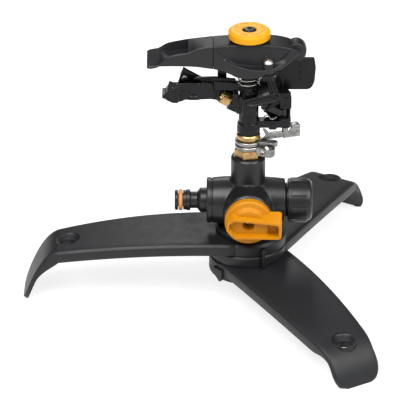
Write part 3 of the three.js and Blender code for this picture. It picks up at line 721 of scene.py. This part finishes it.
def cover_sizes(x, side):
    """The main dimensions of one side of the cover at x."""
    ridge = ridge_width(x)
    height = ridge_height(x)
    foot = min(panel_foot(x), height - 1.6)
    base = ridge + 0.3 + 0.09 * (height - foot)
    spare = lip_width(x) - base
    lip = base + spare / 2 + math.sqrt(spare ** 2 / 4 + 0.15)
    edge = min(lip_top(x), foot + 1.5) if x > -20 else lip_top(x)
    bottom = lip_bottom(x) if side < 0 else max(lip_bottom(x), 200.2)
    return ridge, height, foot, base, lip, edge, bottom


def cover_outside(x, side):
    """The outer skin from the top's middle down to the lip, on one side."""
    ridge, height, foot, base, lip, edge, bottom = cover_sizes(x, side)
    across = (0, 0.2, 0.4, 0.6, 0.8, 0.9, 0.96)
    points = [(ridge * share, height + 0.35 * (1 - share ** 2)) for share in across]
    points += [(ridge, height - 0.25), (ridge + 0.25, height - 0.7)]
    inset = PANEL_DEPTH * min(max((height - 2.4 - foot) / 1.5, 0), 1)
    top = height - 1.5
    points += [(ridge + 0.35, top), (ridge + 0.35 - inset, top - 0.25)]
    for i in range(1, 12):
        share = i / 12
        side_y = ridge + 0.35 - inset + (base - ridge - 0.35) * share
        points.append((side_y, top - 0.25 + (foot - top + 0.5) * share))
    flare = min(max((lip - base) / 3, 0.05), 1)
    bead = 0.6 * flare
    points += [(base - inset, foot + 0.3 + bead), (base, foot + bead), (base + bead, foot + bead * 0.7)]
    for i in range(0, 8):
        share = (i + 0.6) / 8.6
        sag = math.sin(math.pi * share) * 0.05 * max(foot - edge, 0) * flare
        points.append((base + bead + (lip - base - bead) * share - sag, foot + (edge - foot) * share - sag))
    points += [(lip - 0.35 * flare, edge + 0.02), (lip, edge - 0.35), (lip + 0.15 * flare, edge - 1)]
    points += [(lip + 0.15 * flare, bottom + 0.9), (lip, bottom + 0.3), (lip - 0.4, bottom)]
    return [(y * side, z) for y, z in points]


def cover_inside(x, side):
    """The inner skin from the top's middle down to the lip, on one side."""
    ridge, height, foot, base, lip, edge, bottom = cover_sizes(x, side)
    corner = max(foot - 1.6, bottom + 0.2)
    under = max(min(edge - 1.7, corner), bottom + 0.1)
    points = [(0, height - 1.6), (ridge - 1.7, height - 1.9), (base - 1.9, corner),
        (max(lip - 1.6, base - 1.8), under)]
    points.append((max(lip - 1.6, base - 1.7), bottom))
    return [(y * side, z) for y, z in points]


def build_cover():
    steps = 132
    sections = []
    for i in range(steps + 1):
        x = SEAM_X + (38.6 - SEAM_X) * i / steps
        outer = cover_outside(x, -1)[::-1] + cover_outside(x, 1)[1:]
        inner = cover_inside(x, 1)[::-1] + cover_inside(x, -1)[1:]
        sections.append([(x, y, z) for y, z in outer + inner])
    skin = loft(sections)
    sharp = sharper_than(60)
    bevel_edges(skin, 0.5, lambda e: all(v.co.x < SEAM_X + 0.01 for v in e.verts) and sharp(e), 2)
    across_nose = Matrix.Translation((35.6, 0, 208.9)) @ Matrix.Rotation(-math.pi / 2, 4, "X")
    nose = spun([(0, -4.8, 0), (7.4, -4.8, 1.6), (7.9, 1.5, 3), (7.4, 8, 1.6), (0, 8, 0)], 1, 72,
        across_nose)
    seat = spun([(0, 214, 0), (8, 214, 0), (8, 218.9), (0, 218.9, 0)], 0.4, 72)
    boss = spun([(0, 199, 0), (5, 199), (5, 216, 0), (0, 216, 0)], 0.3, 64)
    ear = spun([(0, 197.4, 0), (4.3, 197.4), (4.2, 205.1, 0.5), (0, 205.1, 0)], 0.4, 64, AT_SCREW)
    bore = rod((0, 0, 198), (0, 0, 221), 2.4, 0, 0)
    tongue = box(-31.5, SEAM_X + 1.5, -8.2, 8.2, 198.2, 213.8, 0.5, 0.8)
    cover = join(skin, nose, seat, boss, ear, tongue)
    cut(cover, bore)
    publish(cover, "top_shell_finish", "head", "black_plastic", ["top_shell"], 40, look="head_plastic")


def build_cover_screw():
    head = [(0, 205.5), (3.9, 205.5), (3.95, 206.1)] + arc(0, 203.6, 5.1, 40, 90, 10)
    shank = rounded([(0, 193, 0), (1.3, 193), (1.3, 206, 0), (0, 206, 0)], 0.3)
    screw = cross_head_screw(head, shank, (-1.7, 1.7, -0.38, 0.38, 207.4, 210), 20, AT_SCREW)
    publish(screw, "shell_screw_finish", "head", "steel", ["shell_screw"], look="bright_steel")


# -------- deflector arm
front_rim = smooth_path([(-77.4, 199.6), (-73, 199.7), (-68.5, 201.2), (-65, 204.2), (-61.5, 207.5),
    (-56, 209.2), (-48, 210.6), (-44.5, 211.8), (-40, 213.9), (-34, 215.6), (-27, 216.3)])
rear_rim = smooth_path([(-77.4, 204.5), (-73, 205.6), (-68.5, 206.6), (-65, 208.8), (-61.5, 210.6),
    (-52, 212.8), (-46, 213.9), (-27, 216.3)])
arm_bottom = smooth_path([(-77.4, 199.2), (-66, 200), (-50, 200), (-40, 199.5), (-32, 198.4), (-27, 197.7)])
TROUGH_END = -46.2
trough_floor = smooth_path([(-70, 202.6), (-66, 203.4), (-60, 204.6), (-52, 206), (-44, 207)])


def arm_section(x):
    """One closed slice of the arm: side walls, rims and the trough's floor between them."""
    groove = 0.5 * max(0, (x - SEAM_X) / 0.5 + 1)
    front, rear = front_rim(x) - groove, rear_rim(x) - groove
    half = 10.2 - 1.6 * max(0, (-75.6 - x) / 1.8) ** 2 - groove
    share = min(max((x + 72) / 14, 0), 1)
    sunk = share ** 2 * (3 - 2 * share) if x < TROUGH_END else 0
    floors = tuple(rim + (trough_floor(x) - rim) * sunk for rim in (front, rear))
    floors = (min(floors[0], front - 0.05), min(floors[1], rear - 0.05))
    bottom = min(arm_bottom(x) + groove, front - 1.6)
    outer = [(-half, bottom), (-half, front - 0.5), (-half + 0.4, front)]
    outer += [(-half + 1.3, front), (-half + 1.7, floors[0] + 0.02)]
    for i in range(1, 10):
        share = i / 10
        outer.append(((2 * share - 1) * (half - 1.9), floors[0] + (floors[1] - floors[0]) * share))
    outer += [(half - 1.7, floors[1] + 0.02), (half - 1.3, rear), (half - 0.4, rear), (half, rear - 0.5),
        (half, bottom)]
    roof = [(half - 1.6, bottom), (half - 1.7, max(floors[1] - 1.7, bottom))]
    roof += [(-half + 1.7, max(floors[0] - 1.7, bottom)), (-half + 1.6, bottom)]
    return [(x, y, z) for y, z in outer + roof]


def build_deflector():
    places = [-77.4, -77.2, -76.8, -76.2, -75.4]
    places += [-75.4 + (TROUGH_END + 75.3) * i / 60 for i in range(1, 61)]
    places += [TROUGH_END + 0.1 + (SEAM_X - TROUGH_END - 0.6) * i / 36 for i in range(0, 37)]
    places += [SEAM_X - 0.25, SEAM_X - 0.04]
    arm = loft([arm_section(x) for x in places])
    publish(arm, "deflector_arm_finish", "deflector", "black_plastic", ["deflector_arm"], 36,
        look="head_plastic")


# -------- turning head
def spout_point(distance):
    return (-distance * math.cos(NOZZLE_TILT), 0, NOZZLE_BASE + distance * math.sin(NOZZLE_TILT))


def inset_corners(corners, border):
    """A convex outline moved inwards by an even border."""
    centre = sum((Vector(c[:2]) for c in corners), Vector((0, 0))) / len(corners)
    lines = []
    for i, corner in enumerate(corners):
        start = Vector(corner[:2])
        along = (Vector(corners[(i + 1) % len(corners)][:2]) - start).normalized()
        inward = Vector((-along.y, along.x))
        if inward.dot(centre - start) < 0:
            inward = -inward
        lines.append((start + inward * border, along))
    result = []
    for i, (start, along) in enumerate(lines):
        before, before_along = lines[i - 1]
        across = before_along.x * along.y - before_along.y * along.x
        gap = start - before
        reach = (gap.x * along.y - gap.y * along.x) / across
        result.append(before + before_along * reach)
    return result


def framed(corners, border, low, high, depth):
    """A plate in the XZ plane whose front face is sunk inside a raised border."""
    plate = slab(corners, 0.8, low, high, 0.35)
    return cut(plate, slab(inset_corners(corners, border), 0.5, low - 1, low + depth, 0))


def build_head_body():
    collar = spun([(0, 140.8, 0), (9, 140.8), (9, 145.4), (8.7, 145.9), (8.7, 148.4), (8, 149.6),
        (7.7, 149.8), (7.6, 168), (6, 169.6), (0, 169.6, 0)], 0.4)
    spout = rod(spout_point(0), spout_point(16.2), 6.5, 0, 0.6, 72)
    cheek = slab([(-12, 169), (-9.5, 158.5), (-1, 158), (4, 161), (0, 170.6), (-7.8, 170.6), (-7.8, 175.2),
        (-12, 175.2)], 0.8, -6.9, 3, 0.5)
    fin = slab([(-24.1, 163), (-20, 161), (-8, 160), (-8, 173.6), (-24.1, 173.8)], 1, 5.9, 7.8, 0.4)
    back_wall = slab([(9.5, 156.5), (18.5, 147.5), (31, 146), (31, 162.3), (9.5, 160)], 0.8, 6.4, 8.6, 0.4)
    back_link = box(25, 31.5, 4, 8.4, 146.2, 162, 0.4, 0.8)
    rib = framed([(-4, 164.2), (24.8, 171.6), (23.4, 178.8), (-4.6, 172.2)], 1.5, -12, -4, 1.2)
    post = framed([(17.3, 175), (24.4, 171.8), (16.2, 196.8), (10.4, 196.8)], 1.4, -12, -4, 1.2)
    brow = slab([(-3.4, 164.4), (-1, 166), (-5.2, 174.8), (-8.2, 174.8)], 0.5, -12, -8, 0.4)
    rail = slab([(-8, 191.6), (22, 193), (22, 196.6), (-8, 196.6)], 0.8, -12, -4, 0.4)
    web = box(-5.5, 6, -11.6, -4, 158, 168, 0.5, 2.4)
    ear = box(9.5, 18.5, -19.2, -11, 191.5, 196.6, 0.5, 2.5)
    crown = rod((0, 0, 192), (0, 0, 196.6), 9, 0, 0.5, 72)
    spring_room = rod((0, 0, 169.7), (0, 0, 192), 9.6, 0, 0, 72)
    frame_piece = cut(join(rib, post, rail, crown, ear, brow), spring_room)
    bracket = box(4, 30, -4, 5, 145, 150.6, 0.5, 1)
    foot_left = box(15.5, 21.5, -4.4, 5, 143.6, 149, 0.5, 1.2)
    barrel = spun([(0, 144.6, 0), (4.6, 144.6), (4.6, 152.6), (0, 152.6, 0)], 0.6, 64,
        Matrix.Translation((COLUMN_X, COLUMN_Y, 0)))
    column = box(24.2, 32, -4, 5, 145, 163.5, 0.5, 1.2)
    block = slab([(23.6, 161.5, 0.6), (32.6, 161.5, 0.8), (32.6, 171.5, 2.4), (29.5, 174.6, 2),
        (23.6, 174.6, 0.8)], 1, -4.6, 5, 0.5)
    brace = slab([(10.5, 157), (13, 158.6), (25, 166.5), (25, 170), (20, 169)], 0.8, -3.4, 3.6, 0.4)
    core = spun([(0, 183.8, 0), (6, 183.8), (6.3, 193, 0), (0, 193, 0)], 0.4, 64)
    body = join(collar, spout, cheek, fin, back_wall, back_link, web, frame_piece, core, bracket,
        foot_left, barrel, column, block, brace)
    arm_slot = box(20, COLUMN_X + 2.6, -6, 3.6, 153, 161, 0, 0.4)
    pin_bore = rod((COLUMN_X, COLUMN_Y, 140), (COLUMN_X, COLUMN_Y, 162), 1.4, 0, 0, 32)
    rise = rod((0, 0, 139), (0, 0, NOZZLE_BASE), 5.1, 0, 0, 48)
    jet = rod((0, 0, NOZZLE_BASE), spout_point(17.2), 4.2, 0, 0, 48)
    pivot = rod((0, 0, 165.8), (0, 0, 199), 1.9, 0, 0, 32)
    screw_bore = lathe([(0, 190), (1.6, 190), (1.6, 198), (0, 198)], AT_SCREW, 24)
    recess = box(25.4, 31, -5.2, -3.9, 164, 171.2, 0, 0.5)
    cut(body, arm_slot, pin_bore, rise, jet, pivot, screw_bore, recess)
    melt(body, 0.42, 3)
    # the head body is given the darkened plastic, painted shade for its place in the cover's shadow
    publish(body, "head_body_finish", "head", "black_plastic", ["head_body"], 45, look="shade_darkened_plastic")


def build_nozzle():
    along = Vector(spout_point(1)) - Vector(spout_point(0))
    place = Matrix.Translation(spout_point(0)) @ upright_to(along)
    nut = moved(prism(rounded(arc(0, 0, 5.5, 0, 300, 5), 0.3), 16.7, 23.2, "xy", 0.45), place)
    crown = spun([(0, 15), (4.9, 15), (4.9, 23.5, 0.5), (0, 23.5)], 0.3, 64, place)
    shank = spun([(0, 9.6), (3.9, 9.6), (3.9, 17), (0, 17)], 0.3, 64, place)
    bore = lathe([(0, 8), (1.9, 8), (1.9, 21.6), (3.1, 24), (0, 24)], place, 48)
    nozzle = cut(join(nut, crown, shank), bore)
    publish(nozzle, "jet_nozzle_finish", "head", "brass", ["jet_nozzle"])


# -------- hammer
def build_hammer():
    hub = spun([(2.6, 171), (7.2, 171), (7.2, 175.4), (6, 175.8), (6, 179), (5.2, 179.6), (5.2, 183.3),
        (2.6, 183.3)], 0.4, 72)
    arm = slab([(-27, 176.8), (-5, 175.6), (-5, 182), (-14, 183.4), (-27, 184)], 0.8, -3, 3, 0.6)
    arm_rib = slab([(-57, 172), (-10, 178), (-10, 185.2), (-27, 187), (-40, 186.4), (-50, 183.6),
        (-57, 180.6)], 0.8, -1.3, 1.3, 0.4)
    cage = slab([(-41, 169.9), (-27.4, 170.4), (-25.6, 173.6), (-28, 183.6), (-36, 184.4)], 0.8, -6, 5.4,
        0.6)
    curve = curve_points((-59.6, 179.4), (-63, 176.5), (-64.6, 172.6), 8)
    belly = curve_points((-64.6, 171.6), (-60.5, 166.6), (-52, 168.2), 10)
    inner_curve = curve_points((-51, 171.6), (-55.5, 173), (-56.6, 179.4), 12)
    profile = [tuple(p) for p in curve + belly] + [(-46, 169.7), (-38, 169.8), (-38, 172.8), (-46, 172.8)]
    profile += [tuple(p) for p in inner_curve]
    spoon = prism(profile, -6.6, 6.2, "xz", 0.5)
    lip = slab([(-66, 171.2), (-62.6, 171.2), (-62.6, 174.6), (-66, 174.6)], 0.8, -6.8, 6.2, 0.4)
    ear = slab([(-62.6, 178), (-57.5, 178), (-56, 183.4), (-60.6, 185.4)], 0.5, -6.8, -3.4, 0.4)
    cheek = slab([(-61.5, 174), (-36, 174.6), (-31, 183), (-46, 184), (-59.4, 182.8)], 0.8, -6.2, -4.4, 0.4)
    bulge = rod((-55.2, -2.4, 166), (-56.8, -2.4, 181), 5.6, 0, 0.6, 64)
    cut(bulge, box(-70, -40, -12, 8, 160, 168, 0, 0))
    filling = slab([(-57, 171), (-40, 171.4), (-40, 181), (-57, 181)], 0.6, -5.4, -1, 0)
    valley = rod((-47.9, -9, 177.6), (-50.6, -9, 164), 4.6, 0, 0, 48)
    lug = slab([(-30.5, 162.6), (-23.2, 161.4), (-23.2, 171.6), (-30.5, 172.6)], 0.8, 10.7, 12.2, 0.3)
    lug_link = box(-32, -27.6, 4.6, 12, 169.4, 173, 0.4, 0.6)
    boss = rod((-57.4, -8.7, 177.2), (-57.4, -4.4, 177.2), 1.7, 0.9, 0.3, 32)
    tail_arm = cut(box(4, 26, 5.4, 12.2, 163, 182, 0.5, 0.8), box(20, 33.5, -8, 8.2, 160, 200, 0, 0))
    plate = slab([(22, 171.6, 5), (47.6, 171.6, 7), (50.4, 178, 8), (51.2, 190, 6), (50, 198, 2),
        (22, 198, 3)], 2, 8.6, 12.2, 0.6)
    web_front = slab([(21.4, 173), (25, 173), (25, 196), (21.4, 196)], 1, 8.3, 12.4, 0.4)
    marks = [box(38.2, 40.6, 8.25, 9, z - 0.45, z + 0.45, 0, 0.2) for z in (180.5, 186, 191.5)]
    hammer = join(hub, arm, arm_rib, cage, spoon, cheek, lip, filling, ear, bulge, boss, lug, lug_link,
        tail_arm, plate, web_front, *marks)
    jet_path = rod(spout_point(23.6), spout_point(60), 4.6, 0, 0, 48)
    clear_pin = rod((0, 0, 160), (0, 0, 200), 2.6, 0, 0, 48)
    cut(hammer, jet_path, clear_pin, valley)
    melt(hammer, 0.42, 3)
    # the hammer is given the darkened plastic, painted shade for its place in the cover's shadow
    publish(hammer, "hammer_arm_finish", "hammer", "black_plastic", ["hammer_arm"], 45,
        look="shade_darkened_plastic")


def helix(radius, low, high, turns, wire, per_turn=24):
    points = []
    for i in range(turns * per_turn + 1):
        angle = 2 * math.pi * i / per_turn
        height = low + (high - low) * i / (turns * per_turn)
        points.append((radius * math.cos(angle), radius * math.sin(angle), height))
    return tube(points, wire, resolution=2)


def build_spring():
    publish(helix(8.3, 180, 191.3, 3, 0.55), "hammer_spring_finish", "hammer", "steel", ["hammer_spring"],
        look="bright_steel")


# -------- stop collars and trip mechanism
def strip(route, low, high, thickness):
    """A bent strip of sheet metal standing on edge along a flat route."""
    left, right = [], []
    for i, point in enumerate(route):
        ahead = Vector(route[min(i + 1, len(route) - 1)])
        behind = Vector(route[max(i - 1, 0)])
        along = (ahead - behind).normalized()
        side = Vector((-along.y, along.x)) * thickness / 2
        left.append(Vector(point) + side)
        right.append(Vector(point) - side)
    return prism(left + right[::-1], low, high, "xy", 0.25)


def collar_band(low, high, gap_angle):
    band = spun([(8.6, low), (9.8, low, 0.3), (10.3, low + 0.5, 0.3), (10.3, high - 0.5, 0.3),
        (9.8, high, 0.3), (8.6, high)], 0.25)
    gap = turned(box(6, 14, -0.7, 0.7, low - 1, high + 1, 0, 0.1), gap_angle)
    return cut(band, gap)


def clip_loop(reach, width, low, high):
    """The closed loop of strip that a stop collar is squeezed by."""
    half = width / 2
    route = [(9.3, -half - 0.4), (12, -half)] + arc(reach - half, 0, half, -90, 90, 14) + [(12, half),
        (9.3, half + 0.4)]
    return strip(route, low, high, 1)


def build_stop_collars():
    upper_band = collar_band(131, 134.2, 168)
    upper_clip = turned(clip_loop(22.5, 6, 130.4, 133.6), -12)
    arm = prism(rounded([(9.6, -1.5), (34.6, -1.5), (36, -3.2), (41, -3.2, 0.8), (41, 3.2, 0.8), (36, 3.2),
        (34.6, 1.5), (9.6, 1.5)], 0.3), 131.6, 132.8, "xy", 0.25)
    front_wall = slab([(27, 131.7), (41.2, 131.7), (41.2, 140.6, 1.2), (34.4, 140.6, 0.6), (31, 136)], 0.3,
        -3.4, -2.4, 0.25)
    rear_wall = slab([(35.4, 131.7), (41.2, 131.7), (41.2, 141.4, 1.2), (35.4, 141.4, 0.6)], 0.3, 2.2, 3.2,
        0.25)
    roof = prism(rounded([(34.4, -3.2), (41.2, -3.2), (41.2, 3), (36, 3)], 0.6), 140, 141.1, "xy", 0.25)
    pinhole = rod((38.6, -5, 136.6), (38.6, -1, 136.6), 0.8, 0, 0, 24)
    reach = turned(cut(join(arm, front_wall, rear_wall, roof), pinhole), 18)
    publish(join(upper_band, upper_clip, reach), "upper_stop_collar_finish", "upper_stop", "steel",
        ["upper_stop_collar"], 35)
    lower_band = collar_band(127.2, 130.3, 152)
    lower_clip = clip_loop(22, 8.4, 124, 130.1)
    hole = rod((14, -8, 127.1), (14, 8, 127.1), 1.7, 0, 0, 32)
    ear = turned(cut(lower_clip, hole), -28)
    publish(join(lower_band, ear), "lower_stop_collar_finish", "lower_stop", "steel",
        ["lower_stop_collar"], 35)


def build_trip():
    at_column = Matrix.Translation((COLUMN_X, COLUMN_Y, 0))
    fork = [(10.6, 143.2), (12.8, 143.2), (16, 139.6), (28, 140.2), (28, 137.8), (16.4, 136.2),
        (13, 134.2), (10.8, 134.2), (10.8, 135.4), (13.2, 138)]
    plate = slab(fork, 0.5, -1.8, -0.6, 0.2)
    flange = prism(rounded([(15.5, -1.8), (29, -1.8), (31, 0.4), (29, 3.2), (17, 2.2)], 0.8), 138.4, 139.4,
        "xy", 0.2)
    socket = spun([(1.4, 138), (2.5, 138), (2.5, 144.2), (1.4, 144.2)], 0.3, 48, at_column)
    bore = lathe([(0, 136), (1.4, 136), (1.4, 146), (0, 146)], at_column, 32)
    lever = cut(join(plate, flange, socket), bore)
    publish(lever, "trip_lever_finish", "trip", "steel", ["trip_lever"], 35)
    hub = spun([(1.4, 153.3), (2.4, 153.3), (2.4, 160.7), (1.4, 160.7)], 0.3, 48, at_column)
    bar = slab([(9.6, 160.4, 1), (24, 153.4), (27, 153.6), (27, 158), (12.6, 164.8, 1)], 0.6,
        COLUMN_Y - 1.5, COLUMN_Y + 1.5, 0.4)
    arm = cut(join(bar, hub), lathe([(0, 150), (1.4, 150), (1.4, 164), (0, 164)], at_column, 32))
    publish(arm, "reverse_arm_finish", "reverser", "black_plastic", ["reverse_arm"])
    route = [(10.6, -3, 150.8), (10.8, -3.4, 153), (12, -3.6, 155.4), (14, -3.5, 156.2), (15.6, -3.4, 155),
        (16.4, -3.5, 152.8), (18, -3.6, 152), (20, -3.4, 153), (21.4, -3, 154.4)]
    publish(tube(route, 0.5), "toggle_spring_finish", "head", "steel", ["toggle_spring"])


# -------- diffuser
def build_diffuser():
    front, back = 3.2, 6.2
    plate = slab([(-54.4, 178.8), (-44, 179.2), (-36, 179.6), (-17, 180.4), (-17, 183.4), (-34, 183.2),
        (-46.3, 190.2), (-50, 192.6)], 0.9, front, back, 0.4)
    link = slab([(-23.9, 181), (-16.9, 181), (-16.9, 194.6), (-23.9, 194.6)], 1, front + 0.2, back + 0.3,
        0.4)
    hanger = box(-22, -17.5, front, back, 190, 209, 0.4, 0.5)
    screw_x, screw_z = -49, 184.5
    boss = rod((screw_x, 2.6, screw_z), (screw_x, back, screw_z), 3.6, 0, 0.4, 48)
    hole = rod((screw_x, 0, screw_z), (screw_x, 9, screw_z), 2.2, 0, 0, 32)
    bracket = cut(join(plate, link, hanger, boss), hole)
    # the diffuser bracket is given the darkened plastic, painted shade for its place in the cover's shadow
    publish(bracket, "diffuser_bracket_finish", "deflector", "black_plastic", ["diffuser_bracket"], 40,
        look="shade_darkened_plastic")
    toward_front = Matrix.Translation((screw_x, 0, screw_z)) @ Matrix.Rotation(math.pi / 2, 4, "X")
    shank = spun([(0, -10.8, 0), (1.9, -10.8, 0), (1.9, -2.4), (1.2, -2, 0.3), (0, -1.9, 0)], 0.4, 48,
        toward_front)
    head = spun([(0, -12, 0), (2.6, -12), (3.2, -11.2), (3.2, -10.2, 0.2), (0, -10.2, 0)], 0.4, 48,
        toward_front)
    publish(join(shank, head), "breakup_screw_finish", "breakup", "steel", ["breakup_screw"],
        look="bright_steel")


# -------- studio
def studio_world():
    """A soft dome: bright in front and overhead, dark behind the object."""
    world = bpy.data.worlds.new("studio")
    world.use_nodes = True
    nodes = world.node_tree.nodes
    links = world.node_tree.links
    place = nodes.new("ShaderNodeTexCoord")
    split = nodes.new("ShaderNodeSeparateXYZ")
    links.new(place.outputs["Generated"], split.inputs["Vector"])
    front = spread(nodes, links, split.outputs["Y"], DOME_FRONT, DOME_BACK, -0.1, 0.5)
    overhead = spread(nodes, links, split.outputs["Z"], 0, DOME_TOP, 0.42, 1)
    brighter = nodes.new("ShaderNodeMath")
    brighter.operation = "MAXIMUM"
    for i, share in enumerate((front, overhead)):
        share.node.interpolation_type = "SMOOTHSTEP"
        links.new(share, brighter.inputs[i])
    links.new(brighter.outputs["Value"], nodes["Background"].inputs["Strength"])
    nodes["Background"].inputs["Color"].default_value = (1, 1, 1, 1)
    return world


def build_studio():
    scene = bpy.context.scene
    scene.view_settings.view_transform = "Standard"
    floor_size = 40
    bpy.ops.mesh.primitive_plane_add(size=floor_size, location=(0, 0, GROUND))
    floor = bpy.context.object
    floor.name = "studio_floor"
    material, _, _, shader = new_material("studio_floor")
    setup(shader, {"Base Color": (0.32, 0.32, 0.32, 1), "Roughness": 0.9})
    setup(shader, {"Emission Color": (1, 1, 1, 1), "Emission Strength": 0.78})
    floor.data.materials.append(material)
    scene.world = studio_world()
    sun = bpy.data.lights.new("sun", "SUN")
    sun.energy = 2.2
    sun.angle = math.radians(40)
    new_object("sun", sun).rotation_euler = (math.radians(28), math.radians(-12), 0)
    for name, place, aim, size, power in (
        ("key", (-0.9, -1.2, 2.0), (0, 0, 0.1), 1.2, 22),
        ("fill", (1.2, -0.9, 1.6), (0, 0, 0.1), 1.2, 34),
        ("rear_strip", (-0.1, 1.6, 0.95), (-0.08, 0, 0.03), 0.4, 3.6),
    ):
        lamp = bpy.data.lights.new(name, "AREA")
        lamp.energy = power
        lamp.size = size
        holder = new_object(name, lamp)
        holder.location = place
        holder.rotation_euler = (Vector(aim) - Vector(place)).to_track_quat("-Z", "Y").to_euler()


def build_camera():
    camera = bpy.data.cameras.new("camera")
    camera.lens = CAMERA_LENS
    camera.sensor_width = 36
    holder = new_object("camera", camera)
    forward = Vector((0, math.cos(CAMERA_PITCH), -math.sin(CAMERA_PITCH)))
    aim = Vector(CAMERA_AIM)
    holder.location = (aim - forward * CAMERA_DISTANCE) * MM + Vector((0, 0, GROUND))
    holder.rotation_euler = (math.pi / 2 - CAMERA_PITCH, 0, 0)
    bpy.context.scene.camera = holder


def finish_frame_nodes():
    """Gives every CAD node the material of its slot."""
    slots = {part["node"]: part["material_slot"] for part in frame["record"]["subparts"]}
    for name, node in frame["nodes"].items():
        material = MATERIALS[slots[name]]
        node.data.materials.clear()
        node.data.materials.append(material)


build_camera()
build_studio()
finish_frame_nodes()
build_legs()
build_manifold()
build_inlet()
build_outlet_cap()
build_valve()
build_bearing()
build_dial()
build_cover()
build_cover_screw()
build_deflector()
build_head_body()
build_nozzle()
build_hammer()
build_spring()
build_stop_collars()
build_trip()
build_diffuser()
